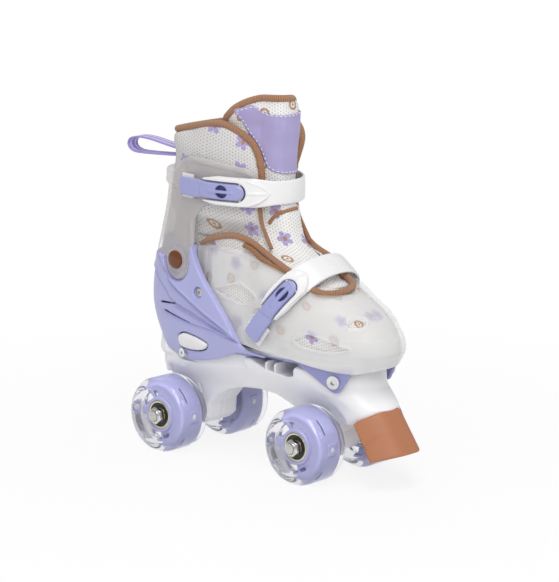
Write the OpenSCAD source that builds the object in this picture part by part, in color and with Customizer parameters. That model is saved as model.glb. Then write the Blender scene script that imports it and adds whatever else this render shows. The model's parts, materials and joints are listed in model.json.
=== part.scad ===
// Adjustable quad roller skate for the right foot: a hard boot on a moulded chassis with four wheels.
// Millimetres. X points to the toe, Y to the left, Z up. The origin is on the floor, amid the wheels.

/* [Wheels] */
// Diameter over the tyre
wheel_d = 58; // [52:0.5:64]
// Width of the tyre
wheel_w = 32; // [28:0.5:36]
// Radius of the tyre's shoulders
tyre_shoulder = 7; // [4:0.5:9]
// Diameter of the core's rim
core_d = 47; // [44:0.5:49]
// Width of the core's rim
core_w = 23; // [21:0.5:26]
// Thickness of the core's rim
rim_t = 3.4; // [2.5:0.1:4.5]
// Thickness of the core's web
web_t = 6; // [4:0.5:9]
// Wall of the core's hub around a bearing
hub_wall = 2.6; // [2:0.1:3.5]
// Number of light boxes in a core
led_count = 2; // [2:1:5]
// Outer diameter of a bearing
bearing_d = 22; // [20:0.5:24]
// Width of a bearing
bearing_w = 7; // [6:0.5:8]
// Length of the spacer between the bearings of a wheel
spacer_l = 8; // [6:0.5:10]
// Distance from the front axle to the rear axle
wheelbase = 140; // [132:1:150]
// Distance between the middles of a left and a right wheel
track = 69.2; // [67:0.2:74]

/* [Axles] */
// Diameter of an axle
axle_d = 8; // [7:0.5:9]
// Size of an axle nut across its flats
nut_flats = 13; // [12:0.5:14]
// Height of an axle nut
nut_h = 5; // [4:0.5:6]
// Diameter of an axle washer
washer_d = 12; // [11.5:0.5:13]
// Thickness of an axle washer
washer_t = 0.8; // [0.5:0.1:1.2]

/* [Chassis] */
// Height of the deck that carries the boot
deck_z = 87; // [86:0.5:89]
// Width of the axle housings
housing_w = 34; // [30:0.5:35]
// Depth of the axle housings below the axle
housing_drop = 10.5; // [8:0.5:13]
// Height of the arch between the axles
arch_z = 57.5; // [54:0.5:61]
// Forward reach of the nose that holds the toe stop
nose_x = 123; // [120:0.5:126]
// Half width of the nose
nose_half_w = 22; // [20:0.5:24]
// Diameter of the collars beside the wheels
collar_boss_d = 13; // [12:0.5:14]

/* [Toe stop] */
// Height of the toe stop's wear face above the floor at its rear edge
stop_z = 22; // [18:0.5:26]
// Forward reach of the toe stop
stop_x = 144; // [140:0.5:148]
// Half width of the toe stop at its rear
stop_half_w = 24; // [20:0.5:27]
// Half width of the toe stop's front
stop_front_half_w = 11; // [8:0.5:14]
// Diameter of the toe stop's bolt
stop_bolt_d = 6; // [5:0.5:8]

/* [Boot] */
// Distance from the origin back to the heel
heel_reach = 106; // [103:0.5:110]
// Distance from the origin forward to the toe
toe_reach = 127; // [124:0.5:131]
// Greatest width of the boot
boot_w = 85; // [82:0.5:90]
// Height of the lower edge of the heel shell
skirt_z = 72; // [71:0.5:73]
// Wall of the hard shells
shell_t = 2.5; // [2:0.1:2.9]
// Wall of the soft lining
lining_t = 3; // [2.5:0.1:3.2]
// Wall of the padded collar
collar_t = 5; // [4:0.1:5.5]
// Wall of the padded tongue
tongue_t = 5; // [4:0.1:6]
// Height of the tongue's top
tongue_z = 281; // [270:1:288]
// Thickness of the sole plate
base_t = 4; // [3:0.1:4.4]
// Thickness of the toe's slide plate
slider_t = 2; // [1.6:0.1:2.2]
// Thickness of the footbed
insole_t = 4; // [3:0.5:6]
// Height of the notched size bar
rack_h = 1.3; // [1:0.1:1.4]
// Travel of the toe from the smallest to the largest size
size_travel = 24; // [12:1:28]
// Number of sizes
size_count = 4; // [3:1:5]

/* [Cuff] */
// Place of the cuff pivots from the origin
pivot_x = -61; // [-64:0.5:-58]
// Height of the cuff pivots
pivot_z = 150; // [148:0.5:152]
// Diameter of a cuff rivet
rivet_d = 6; // [5:0.5:7]
// Diameter of a rivet's cap
cap_d = 14; // [12:0.5:16]
// Radius of the cuff's rounded ears
ear_r = 15.5; // [14:0.5:17]
// Width of the pull loop's ribbon
ribbon_w = 11; // [8:0.5:14]
// Thickness of the ribbon
ribbon_t = 1.4; // [1:0.1:1.8]
// Length of the pull loop
loop_l = 62; // [50:1:70]
// Height of the pull loop
loop_h = 13; // [11:0.5:16]

/* [Straps] */
// Width of a strap
strap_w = 22; // [20:0.5:24]
// Thickness of a strap
strap_t = 3.2; // [2.6:0.1:3.8]
// Thickness of a strap beside its lever
fork_t = 5; // [4.6:0.1:5.6]
// Width of a lever between the fork's arms
lever_w = 14; // [12:0.5:15]
// Width of a lever's tail
tail_w = 19; // [17:0.5:20]
// Diameter of a lever's pin
pin_d = 2.4; // [2:0.1:2.8]
// Diameter of the eye in a lever
eye_d = 10; // [8:0.5:11]
// Height of the middle of the cuff strap
cuff_strap_z = 209; // [207:0.5:211]
// Lean of the instep strap from upright
instep_lean = 36.5; // [34:0.5:39]
// Height of the instep strap's arch
instep_arch = 60; // [59:0.5:63]

/* [Size button] */
// Length of the size button
button_l = 34; // [28:0.5:36]
// Height of the size button
button_h = 13; // [11:0.5:14]
// How far the button stands out of the shell
button_proud = 2; // [1:0.1:3]
// Inward travel of the button
button_travel = 4; // [2:0.5:5]

/* [Hidden] */
$fn = 48;

LAVENDER = [0.66, 0.65, 0.89];
WHITE = [0.9, 0.9, 0.91];
FROST = [0.86, 0.86, 0.87];
BROWN = [0.72, 0.42, 0.26];
STEEL = [0.72, 0.71, 0.66];
FABRIC = [0.87, 0.86, 0.85];

// Radial clearance of what turns on a pin or an axle
run_clear = 0.05;
// Clearance between flat faces that turn on each other
face_clear = 0.1;
// Clearance between a fastener and its hole
hole_clear = 0.15;
// Clearance between parts that slide past each other
slide_clear = 0.4;
// Clearance between nested shells and linings
nest_clear = 0.7;
eps = 0.01;

axle_z = wheel_d / 2;
front_x = wheelbase / 2;
rear_x = -wheelbase / 2;
wheel_y = track / 2;
axle_r = axle_d / 2 - run_clear;
bearing_in = spacer_l / 2;
bearing_out = spacer_l / 2 + bearing_w;
hub_r = bearing_d / 2 + hub_wall;
washer_in_y = wheel_y - bearing_out - face_clear;
washer_out_y = wheel_y + bearing_out + face_clear;
nut_y = washer_out_y + washer_t;
axle_end = 0.6;
axle_half = nut_y + nut_h + axle_end;

base_top = deck_z + base_t;
slider_z = base_top + slide_clear;
rack_z = slider_z + slider_t;
insole_z = rack_z + rack_h + slide_clear;
insole_top = insole_z + insole_t;

// Depth of each layer of the boot below the outer face
inner_shell = shell_t + nest_clear;
vamp_cover = shell_t + nest_clear;
rear_vamp_cover = inner_shell + shell_t + nest_clear;
liner_cover = rear_vamp_cover + lining_t + nest_clear + 2.5;

// Sections of the boot, from the skirt up: height over the skirt, inset of the heel, inset of the toe,
// place of the greatest width, inset of the sides, and squareness of the front and of the rear
boot_sections = [
    [0, 18, 8, 35, 5.5, 2.3, 2.8],
    [8, 12, 5, 35, 3, 2.3, 2.8],
    [23, 5, 0, 35, 0, 2.3, 2.8],
    [38, 0.5, 1.5, 32, 0, 2.3, 2.8],
    [53, 0, 13, 25, 1.5, 2.3, 2.8],
    [68, 1.5, 37, 12, 3.5, 2.3, 2.7],
    [83, 4.5, 63, -5, 5, 2.2, 2.6],
    [98, 8.5, 85, -18, 6.5, 2.1, 2.5],
    [118, 14, 96, -28, 7, 2.1, 2.4],
    [138, 18, 101, -31, 7, 2.1, 2.4],
    [160, 22, 104, -31, 7, 2.1, 2.4],
    [183, 29, 105, -30, 8.5, 2.1, 2.4],
    [213, 34, 105, -29, 9.5, 2.1, 2.4],
];

function mix(a, b, t) = a + (b - a) * t;
function clamp01(t) = min(max(t, 0), 1);
function ease(a, b, v) = let (t = clamp01((v - a) / (b - a))) t * t * (3 - 2 * t);
function flat(rows) = [for (row = rows) each row];
function reversed(list) = [for (i = [len(list) - 1:-1:0]) list[i]];
function steps(a, b, count) = [for (i = [0:count]) mix(a, b, i / count)];

// A smooth curve through a table's rows: the value of column k where the first column is v
function row_of(table, v, i = 0) = i >= len(table) - 2 || v < table[i + 1][0] ? i : row_of(table, v, i + 1);
function slope_of(table, i, k) =
    let (a = table[max(i - 1, 0)], b = table[min(i + 1, len(table) - 1)]) (b[k] - a[k]) / (b[0] - a[0]);
function smooth_at(table, v, k) =
    let (
        i = row_of(table, v),
        a = table[i],
        b = table[i + 1],
        h = b[0] - a[0],
        t = clamp01((v - a[0]) / h),
        ease_up = t * t * (3 - 2 * t),
        lead = t * (1 - t) * (1 - t) * h * slope_of(table, i, k),
        tail = t * t * (t - 1) * h * slope_of(table, i + 1, k)
    )
    mix(a[k], b[k], ease_up) + lead + tail;

function back_at(z) = smooth_at(boot_sections, z - skirt_z, 1) - heel_reach;
function front_at(z) = toe_reach - smooth_at(boot_sections, z - skirt_z, 2);
function middle_at(z) = smooth_at(boot_sections, z - skirt_z, 3);
function half_w_at(z) = boot_w / 2 - smooth_at(boot_sections, z - skirt_z, 4);
function square_at(z, k) = smooth_at(boot_sections, z - skirt_z, k);
function power(v, n) = sign(v) * pow(abs(v), 2 / n);

// A point of the boot's surface at a height and a turn round the boot, from 0 at the toe to 180 at the heel.
// A positive offset lies outside the surface
function boot_point(turn, z, offset = 0) =
    let (
        ahead = cos(turn) >= 0,
        n = square_at(z, ahead ? 5 : 6),
        reach = (ahead ? front_at(z) - middle_at(z) : middle_at(z) - back_at(z)) + offset
    )
    [middle_at(z) + reach * power(cos(turn), n), (half_w_at(z) + offset) * power(sin(turn), n), z];
function boot_xy(turn, z, offset = 0) = let (p = boot_point(turn, z, offset)) [p[0], p[1]];
// Half width of the boot's surface at a place along it
function side_y(x, z) =
    let (
        ahead = x >= middle_at(z),
        n = square_at(z, ahead ? 5 : 6),
        reach = ahead ? front_at(z) - middle_at(z) : middle_at(z) - back_at(z)
    )
    half_w_at(z) * pow(1 - pow(min(abs(x - middle_at(z)) / reach, 1), n), 1 / n);

// The toe's layers step inwards where they run inside the heel shell
step_from = 32;
step_to = 10;
recess_from = -33.5;
recess_to = -38.5;
recess_low = 117;
recess_high = 127;
function tuck(turn, z) =
    let (x = boot_point(turn, z)[0])
    inner_shell * (2 - ease(step_to, step_from, x) - ease(recess_from + 1, recess_from + 7, x));

// Children placed on the boot's surface, with their Z axis pointing out of it
module at_boot(turn, z, offset = 0) {
    ahead = boot_xy(turn + 1, z) - boot_xy(turn - 1, z);
    translate(boot_point(turn, z, offset)) rotate([0, 0, atan2(-ahead[0], ahead[1])])
        rotate([0, 90, 0]) children();
}

// A closed solid between an outer and an inner grid of points
module grid_solid(outer, inner) {
    rows = len(outer);
    cols = len(outer[0]);
    half = rows * cols;
    function o(r, c) = r * cols + c;
    function i(r, c) = half + r * cols + c;
    function quad(a, b, c, d) = [[a, b, c], [a, c, d]];
    last_row = rows - 2;
    last_col = cols - 2;
    faces = concat(
        [for (r = [0:last_row], c = [0:last_col])
            each quad(o(r, c), o(r + 1, c), o(r + 1, c + 1), o(r, c + 1))],
        [for (r = [0:last_row], c = [0:last_col])
            each quad(i(r, c), i(r, c + 1), i(r + 1, c + 1), i(r + 1, c))],
        [for (c = [0:last_col]) each quad(o(0, c), o(0, c + 1), i(0, c + 1), i(0, c))],
        [for (c = [0:last_col], r = rows - 1) each quad(o(r, c), i(r, c), i(r, c + 1), o(r, c + 1))],
        [for (r = [0:last_row]) each quad(o(r, 0), i(r, 0), i(r + 1, 0), o(r + 1, 0))],
        [for (r = [0:last_row], c = cols - 1) each quad(o(r, c), o(r + 1, c), i(r + 1, c), i(r, c))]
    );
    polyhedron(points = concat(flat(outer), flat(inner)), faces = faces);
}

// A panel of the boot over a list of turns, between two edges, under a cover of given depth
module boot_panel(turns, rows, low, high, cover, wall) {
    layer = function (depth) [for (r = [0:rows]) [
        for (turn = turns) let (z = mix(low(turn), high(turn), r / rows))
            boot_point(turn, z, -cover(turn, z) - depth)
    ]];
    grid_solid(layer(0), layer(wall));
}

// The angle from the toe, from 0 to 180, whichever side it is on
function side_turn(turn) = let (t = abs(turn)) t > 180 ? 360 - t : t;

// A cylinder along Y between two places
module rod_y(x, z, r, y0, y1) {
    translate([x, y0, z]) rotate([-90, 0, 0]) cylinder(r = r, h = y1 - y0);
}

module both_sides() {
    children();
    mirror([0, 1, 0]) children();
}

// A profile in X and Z, extruded to a half width on both sides of the middle
module side_profile(points, half_w) {
    rotate([90, 0, 0]) linear_extrude(height = 2 * half_w, center = true) polygon(points);
}

// Wheels

module at_wheel(x, side) {
    translate([x, side * wheel_y, axle_z]) rotate([side > 0 ? -90 : 90, 0, 0]) children();
}

tyre_half = wheel_w / 2;
core_half = core_w / 2;
shoulder_turns = steps(0, 90, 8);
function tyre_corner(top) = [for (a = top ? reversed(shoulder_turns) : shoulder_turns) [
    wheel_d / 2 - tyre_shoulder + tyre_shoulder * cos(a),
    (top ? 1 : -1) * (tyre_half - tyre_shoulder + tyre_shoulder * sin(a)),
]];

// The tyre's lips reach in over the rim's edges, which lock it to the core
lip_r = core_d / 2 - rim_t;
lip_bevel = 2;
module tyre() {
    color(FROST) rotate_extrude() polygon(concat(
        [[lip_r, -core_half], [lip_r, -tyre_half + lip_bevel], [lip_r + lip_bevel, -tyre_half]],
        reversed(tyre_corner(false)),
        reversed(tyre_corner(true)),
        [[lip_r + lip_bevel, tyre_half], [lip_r, tyre_half - lip_bevel], [lip_r, core_half]],
        [[core_d / 2, core_half], [core_d / 2, -core_half]]
    ));
}

led_w = 6;
led_h = 2.4;
led_depth = 5;
led_wall = 1.2;
led_root = 0.4;
led_turn = 0;
module led_boxes(clear = 0) {
    for (k = [0:led_count - 1]) rotate([0, 0, k * 360 / led_count + led_turn])
        translate([lip_r - led_h - clear, -led_w / 2 - clear, core_half - led_depth - clear])
            cube([led_h + clear, led_w + 2 * clear, led_depth + clear + 1]);
}

slot_count = 5;
slot_turn = 60;
slot_r = (hub_r + lip_r) / 2;
shelf = 2;
module core() {
    bore_r = bearing_d / 2;
    shelf_r = bore_r - shelf;
    color(LAVENDER) difference() {
        union() {
            rotate_extrude() polygon([
                [shelf_r, -bearing_in], [bore_r, -bearing_in], [bore_r, -bearing_out],
                [hub_r, -bearing_out], [hub_r, -web_t / 2], [lip_r, -web_t / 2], [lip_r, -core_half],
                [core_d / 2, -core_half], [core_d / 2, core_half], [lip_r, core_half], [lip_r, web_t / 2],
                [hub_r, web_t / 2], [hub_r, bearing_out], [bore_r, bearing_out], [bore_r, bearing_in],
                [shelf_r, bearing_in],
            ]);
            for (k = [0:led_count - 1]) rotate([0, 0, k * 360 / led_count + led_turn])
                translate([lip_r - led_h - led_wall, -led_w / 2 - led_wall, web_t / 2 - eps])
                    cube([led_h + led_wall + led_root, led_w + 2 * led_wall, core_half - web_t / 2]);
        }
        led_boxes(hole_clear);
        for (k = [0:slot_count - 1]) rotate([0, 0, k * 360 / slot_count + slot_turn])
            translate([slot_r, 0, -web_t]) cylinder(d = (lip_r - hub_r) / 2, h = 2 * web_t, $fn = 24);
    }
}

shield_in = axle_d / 2 + 2;
shield_out = bearing_d / 2 - 1.8;
shield_sink = 0.6;
module bearings() {
    color(STEEL) for (z = [-bearing_out, bearing_in]) translate([0, 0, z]) rotate_extrude() polygon([
        [axle_d / 2, 0], [shield_in, 0], [shield_in, shield_sink], [shield_out, shield_sink], [shield_out, 0],
        [bearing_d / 2, 0], [bearing_d / 2, bearing_w], [shield_out, bearing_w],
        [shield_out, bearing_w - shield_sink], [shield_in, bearing_w - shield_sink], [shield_in, bearing_w],
        [axle_d / 2, bearing_w],
    ]);
}

module leds() {
    color("white") intersection() {
        led_boxes();
        cylinder(r = core_d / 2, h = core_half);
    }
}

module axle(x) {
    color(STEEL) rod_y(x, axle_z, axle_r, -axle_half, axle_half);
}

module each_wheel() {
    for (x = [front_x, rear_x], side = [-1, 1]) at_wheel(x, side) children();
}

module axle_nuts() {
    color(STEEL) each_wheel() translate([0, 0, nut_y - wheel_y]) difference() {
        cylinder(d = nut_flats / cos(30), h = nut_h, $fn = 6);
        translate([0, 0, -eps]) cylinder(r = axle_r + eps, h = nut_h + 2 * eps);
    }
}

module washer_at(z) {
    translate([0, 0, z]) difference() {
        cylinder(d = washer_d, h = washer_t);
        translate([0, 0, -eps]) cylinder(r = axle_r + hole_clear, h = washer_t + 2 * eps);
    }
}

module axle_washers() {
    color(STEEL) each_wheel() {
        washer_at(washer_out_y - wheel_y);
        washer_at(washer_in_y - washer_t - wheel_y);
    }
}

module bearing_spacers() {
    spacer_half = bearing_in - face_clear;
    color(STEEL) each_wheel() translate([0, 0, -spacer_half]) difference() {
        cylinder(r = shield_in - 0.2, h = 2 * spacer_half);
        translate([0, 0, -eps]) cylinder(r = axle_r + hole_clear, h = 2 * spacer_half + 2 * eps);
    }
}

// Chassis

// Lower edge of the heel shell, by the angle from the toe
heel_edge = [
    [94, 92], [98, 89], [104, 81], [112, 76], [124, 74],
    [136, 72], [141, 76], [146, 88], [156, 93], [180, 96],
];
function heel_low(turn) = skirt_z - 72 + lookup(side_turn(turn), heel_edge);

frame_half_w = boot_w / 2 - 5;
nose_tip_half_w = 14;
bracket_x0 = 60;
bracket_x1 = 110;
bracket_y0 = frame_half_w;
bracket_y1 = 22.5;
bracket_lean = atan2(bracket_y0 - bracket_y1, bracket_x1 - bracket_x0);
bracket_t = 3;
frame_rear_turns = steps(96, 264, 28);
deck_cover = shell_t + slide_clear + 0.4;
upstand_t = 9;

// Outline of the chassis from above, with its rear under the given depth of cover
function frame_plan(cover) = concat(
    [for (turn = frame_rear_turns) boot_xy(turn, skirt_z, -cover)],
    [
        [10, -frame_half_w], [bracket_x0, -bracket_y0], [bracket_x1, -bracket_y1],
        [nose_x + 4, -nose_tip_half_w],
    ],
    [[nose_x + 4, nose_tip_half_w], [bracket_x1, bracket_y1], [bracket_x0, bracket_y0], [10, frame_half_w]]
);

housing_low = axle_z - housing_drop;
rear_face = rear_x + 25;
skirt_back = back_at(skirt_z);
frame_side = [
    [skirt_back + 1, deck_z], [skirt_back - 2, 70], [skirt_back - 2, 62], [rear_x - 16, 54],
    [rear_x - 16, axle_z], [rear_x - 10, housing_low], [rear_face - 8, housing_low],
    [rear_face - 1, housing_low + 6], [rear_face, axle_z + 7], [rear_face + 7, arch_z - 13],
    [rear_face + 21, arch_z - 6], [rear_face + 36, arch_z - 2], [10, arch_z], [26, arch_z - 1.5],
    [front_x - 28, arch_z - 8.5], [front_x - 12, axle_z + 9], [front_x - 10, axle_z - 4],
    [front_x - 5, housing_low], [front_x + 5, housing_low], [front_x + 10, axle_z - 5],
    [front_x + 12, axle_z + 6], [front_x + 17, axle_z + 13], [front_x + 27, 47.5], [107, 49.5],
    [nose_x, 59], [116, 66], [111, 72], [107, deck_z - 2], [104, deck_z],
];
// Half of the chassis from the front: narrow housings that flare to the deck
flare = [
    [0, housing_low - 1], [housing_w / 2, housing_low - 1], [housing_w / 2, 54], [19.5, 57],
    [boot_w / 2 - 10, 72], [boot_w / 2 - 3, deck_z + 1], [0, deck_z + 1],
];
nose_side = [
    [86, 62], [98, 46], [107, 49.5], [nose_x, 59], [116, 66], [111, 72],
    [107, deck_z - 2], [86, deck_z - 2],
];
slot_profile = [[11, deck_z + 1], [32, 79], [52, 77], [58, 79], [61, deck_z + 1]];

button_x = -41;
button_z = 89;
front_bolt_x = 94;
front_bolt_z = 80;
front_bolt_y = mix(bracket_y0, bracket_y1, (front_bolt_x - bracket_x0) / (bracket_x1 - bracket_x0));
frame_bolt_d = 5;
bolt_head_d = 10;
bolt_head_h = 3;
rear_bolt_turn = 127.4;
rear_bolt_z = 78.5;
rear_head_d = 7;
rear_head_h = 2;
rear_head_seat = 0.3;
stop_slant = 35;
stop_bolt_at = [116, 0, 54];

module at_front_bolt() {
    translate([front_bolt_x, -front_bolt_y, front_bolt_z]) rotate([90, 0, bracket_lean]) children();
}

module at_stop_bolt() {
    translate(stop_bolt_at) rotate([0, 180 - stop_slant, 0]) children();
}

// Everything that the size button needs behind the wall of the heel
button_in = 11;
button_deep = boot_w / 2 - 3 - button_in;
seat_gap = 2;
module button_recess() {
    translate([button_x - button_l / 2 - 2, -boot_w / 2, button_z - button_h / 2 - 1.5])
        cube([button_l + 4, boot_w / 2 - button_deep + button_travel + seat_gap, button_h + 10]);
}

frame_hole_l = 40;
upstand_low = 58;
upstand_gap = 0.6;
module chassis() {
    bore_r = axle_r + eps;
    color(WHITE) difference() {
        union() {
            intersection() {
                union() {
                    translate([0, 0, skirt_z - 1]) linear_extrude(height = deck_z - skirt_z + 1)
                        polygon(frame_plan(deck_cover));
                    linear_extrude(height = skirt_z - upstand_gap) polygon(frame_plan(-1));
                }
                side_profile(frame_side, boot_w);
                rotate([90, 0, 90]) linear_extrude(height = 400, center = true)
                    polygon(concat(flare, reversed([for (p = flare) [-p[0], p[1]]])));
            }
            intersection() {
                side_profile(nose_side, nose_half_w);
                linear_extrude(height = deck_z) polygon(frame_plan(0));
            }
            boot_panel(
                steps(148, 212, 10), 3,
                function (turn) upstand_low,
                function (turn) heel_low(turn) - 0.8,
                function (turn, z) upstand_gap, upstand_t
            );
            for (x = [front_x, rear_x])
                rod_y(x, axle_z, collar_boss_d / 2, -washer_in_y + washer_t, washer_in_y - washer_t);
        }
        for (x = [front_x, rear_x]) rod_y(x, axle_z, bore_r, -axle_half, axle_half);
        for (side = [-1, 1]) translate([0, side * (boot_w / 2 - 6), 0])
            side_profile(slot_profile, 13);
        both_sides() at_front_bolt() translate([0, 0, -16])
            cylinder(d = frame_bolt_d + 2 * hole_clear, h = frame_hole_l);
        for (side = [-1, 1]) at_boot(side * rear_bolt_turn, rear_bolt_z)
            cylinder(d = frame_bolt_d + 2 * hole_clear, h = frame_hole_l, center = true);
        at_stop_bolt() translate([0, 0, -20]) cylinder(d = stop_bolt_d + 2 * hole_clear, h = frame_hole_l);
        at_stop_bolt() translate([0, 0, -stop_well - 28]) cylinder(d = stop_bolt_d * 2, h = 28);
        button_recess();
    }
}

// Toe stop

stop_top_gap = 0.3;
stop_profile = [
    [107, 49.5 - stop_top_gap], [nose_x, 59 - stop_top_gap], [stop_x, stop_z + 6.5], [stop_x - 21, stop_z],
];
stop_len = 70;
stop_back = 20;
stop_hole_back = 5;
stop_hole_l = 22;
stop_well = 12;
stop_bolt_l = 27;
stop_head_h = 4;
module toe_stop() {
    color(BROWN) difference() {
        intersection() {
            side_profile(stop_profile, stop_half_w + 5);
            at_stop_bolt() translate([0, 0, -stop_back]) linear_extrude(height = stop_len) polygon([
                [16, -stop_half_w], [9, -stop_half_w], [-8, -stop_front_half_w - 4],
                [-12, -stop_front_half_w], [-13.5, 0], [-12, stop_front_half_w],
                [-8, stop_front_half_w + 4], [9, stop_half_w], [16, stop_half_w],
            ]);
        }
        at_stop_bolt() translate([0, 0, -stop_hole_back])
            cylinder(d = stop_bolt_d + 2 * hole_clear, h = stop_hole_l);
    }
}

module toe_stop_bolt() {
    color(STEEL) at_stop_bolt() {
        translate([0, 0, -stop_well]) cylinder(d = stop_bolt_d, h = stop_bolt_l);
        translate([0, 0, -stop_well - stop_head_h])
            cylinder(d = stop_bolt_d * 1.7, h = stop_head_h - eps, $fn = 6);
    }
}

// Sole and heel

base_front = 100;
bracket_outline = [
    [-6, deck_z], [30, 74], [34, 71.5], [38, 71], [41, 73], [48, deck_z - 2], [48, deck_z - 1],
];
spring_seat = [16, 4, button_z + button_h / 2 - deck_z - 4];
module base_plate() {
    rim = 0.6;
    rear_turns = steps(97, 263, 28);
    tuck_x = bracket_x0 + 2;
    front_turns = steps(-92, -76, 4);
    plan = concat(
        [for (turn = rear_turns)
            boot_xy(turn, deck_z, -mix(deck_cover, upstand_t + 1.2, ease(136, 145, side_turn(turn))))],
        [for (turn = front_turns) boot_xy(turn, deck_z + 2, -rim)],
        [[tuck_x, -boot_w / 2 + 8], [80, -boot_w / 2 + 12], [base_front, -18]],
        [[base_front, 18], [80, boot_w / 2 - 12], [tuck_x, boot_w / 2 - 8]],
        [for (turn = reversed(front_turns)) boot_xy(-turn, deck_z + 2, -rim)]
    );
    color(LAVENDER) {
        difference() {
            translate([0, 0, deck_z]) linear_extrude(height = base_t) polygon(plan);
            button_recess();
        }
        translate([button_x - spring_seat[0] / 2, -button_deep + button_travel + seat_gap, deck_z + eps])
            cube(spring_seat);
        both_sides() difference() {
            translate([bracket_x0, -bracket_y0 - slide_clear, 0]) rotate([90, 0, bracket_lean])
                linear_extrude(height = bracket_t) polygon(bracket_outline);
            at_front_bolt() translate([0, 0, -10]) cylinder(d = frame_bolt_d + 2 * hole_clear, h = 30);
        }
    }
}

// Front edge of the heel shell: the angle from the toe at each height
heel_low_turn = 94.5;
function heel_front(z) = mix(heel_low_turn, 106, clamp01((z - 92) / 70));
heel_top = 163;
screw_turn = 108.3;
screw_z = 129;
screw_head_d = 6.4;
heel_slit = [[-83, 113], [-81, 114.4], [-57, 104.6], [-57.6, 103]];
heel_slit_depth = 22;
module heel_shell() {
    share = steps(0, 1, 34);
    rows = 9;
    low_turn = function (s) mix(heel_low_turn, 360 - heel_low_turn, s);
    z_of = function (s, r) mix(heel_low(low_turn(s)), heel_top, r / rows);
    turn_of = function (s, z) mix(heel_front(z), 360 - heel_front(z), s);
    sunk = function (z) inner_shell * ease(recess_low, recess_high, z);
    cover = function (turn, z) sunk(z) * (1 - ease(recess_to, recess_from, boot_point(turn, z)[0]));
    layer = function (depth) [for (r = [0:rows]) [
        for (s = share) let (z = z_of(s, r), t = turn_of(s, z)) boot_point(t, z, -cover(t, z) - depth)
    ]];
    color(LAVENDER) difference() {
        grid_solid(layer(0), layer(shell_t));
        rod_y(pivot_x, pivot_z, rivet_d / 2 + hole_clear, -boot_w, boot_w);
        for (side = [-1, 1]) at_boot(side * rear_bolt_turn, rear_bolt_z) {
            cylinder(d = frame_bolt_d + 2 * hole_clear, h = 20, center = true);
            translate([0, 0, rear_head_seat - face_clear])
                cylinder(d = rear_head_d + 4 * hole_clear, h = 4 * rear_head_h);
        }
        for (side = [-1, 1]) at_boot(side * screw_turn, screw_z)
            cylinder(d = screw_head_d + 2 * hole_clear, h = 10, center = true);
        button_window();
        for (side = [-1, 1]) translate([0, side * boot_w / 2, 0]) side_profile(heel_slit, heel_slit_depth);
    }
}

module button_face(grow) {
    r = 3;
    l = button_l / 2 + grow - r;
    h = button_h / 2 + grow - r;
    for (p = [[-l + 2, h], [-l, -h], [l - 9, -h], [l, 0], [l - 6, h - 1]]) translate(p) circle(r);
    polygon([
        [-l + 2, h + r], [-l + 2 - r, h], [-l - r, -h], [-l, -h - r], [l - 9, -h - r],
        [l + r * 0.6, -r * 0.8], [l + r, 0], [l + r * 0.5, r * 0.87], [l - 6, h - 1 + r],
    ]);
}

module button_prism(grow, y0, y1) {
    translate([button_x, y1, button_z]) rotate([90, 0, 0])
        linear_extrude(height = y1 - y0) button_face(grow);
}

button_out = side_y(button_x, button_z) + button_proud;
module button_window() {
    button_prism(slide_clear, -boot_w, -boot_w / 4);
}

spring_d = 5;
spring_wall = 1;
spring_hole_l = 9.5;
button_rear = -button_out + button_in;
module size_button() {
    color(WHITE) difference() {
        button_prism(0, -button_out, button_rear);
        rod_y(button_x, button_z, spring_d / 2 + slide_clear, button_rear - spring_hole_l, button_rear + 1);
    }
}

spring_y0 = button_rear - spring_hole_l + button_travel + slide_clear;
spring_y1 = -button_deep + button_travel + seat_gap;
module button_spring() {
    color(STEEL) difference() {
        rod_y(button_x, button_z, spring_d / 2, spring_y0, spring_y1);
        rod_y(button_x, button_z, spring_d / 2 - spring_wall, spring_y0 - 1, spring_y1 + 1);
    }
}

module frame_bolt(head_d, head_h, length) {
    difference() {
        union() {
            cylinder(d = head_d, h = head_h);
            translate([0, 0, -length]) cylinder(d = frame_bolt_d, h = length + eps);
        }
        translate([0, 0, head_h / 2]) cylinder(d = head_d * 0.42, h = head_h, $fn = 6);
    }
}

module frame_bolts_front() {
    color(STEEL) both_sides() at_front_bolt() translate([0, 0, bracket_t + slide_clear])
        frame_bolt(bolt_head_d, bolt_head_h, 14);
}

module frame_bolts_rear() {
    color(STEEL) for (side = [-1, 1]) at_boot(side * rear_bolt_turn, rear_bolt_z, rear_head_seat)
        frame_bolt(rear_head_d, rear_head_h, 16);
}

module shell_screws() {
    color(STEEL) for (side = [-1, 1]) at_boot(side * screw_turn, screw_z) difference() {
        translate([0, 0, 0.6 - shell_t]) cylinder(d = screw_head_d, h = shell_t - 0.8);
        translate([0, 0, -1]) cylinder(d = 2.6, h = 2, $fn = 6);
    }
}

pivot_y = side_y(pivot_x, pivot_z);
boss_y = pivot_y + 1.6;
rivet_foot_y = -pivot_y + 2 * shell_t + 2.4;
rivet_foot_t = 0.8;
rivet_foot_wide = 2;
module cuff_rivets() {
    color(STEEL) both_sides() {
        rod_y(pivot_x, pivot_z, rivet_d / 2, -boss_y - face_clear, rivet_foot_y + rivet_foot_t / 4);
        rod_y(pivot_x, pivot_z, rivet_d / 2 + rivet_foot_wide, rivet_foot_y, rivet_foot_y + rivet_foot_t);
    }
}

module cuff_rivet_caps() {
    color(BROWN) both_sides() translate([pivot_x, -boss_y - face_clear - eps, pivot_z]) rotate([90, 0, 0])
        rotate_extrude() polygon(concat(
            [[0, 0], [cap_d / 2, 0]],
            [for (a = steps(0, 90, 6)) [cap_d / 2 * cos(a), 0.6 + 2 * sin(a)]]
        ));
}

// Lining

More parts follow.
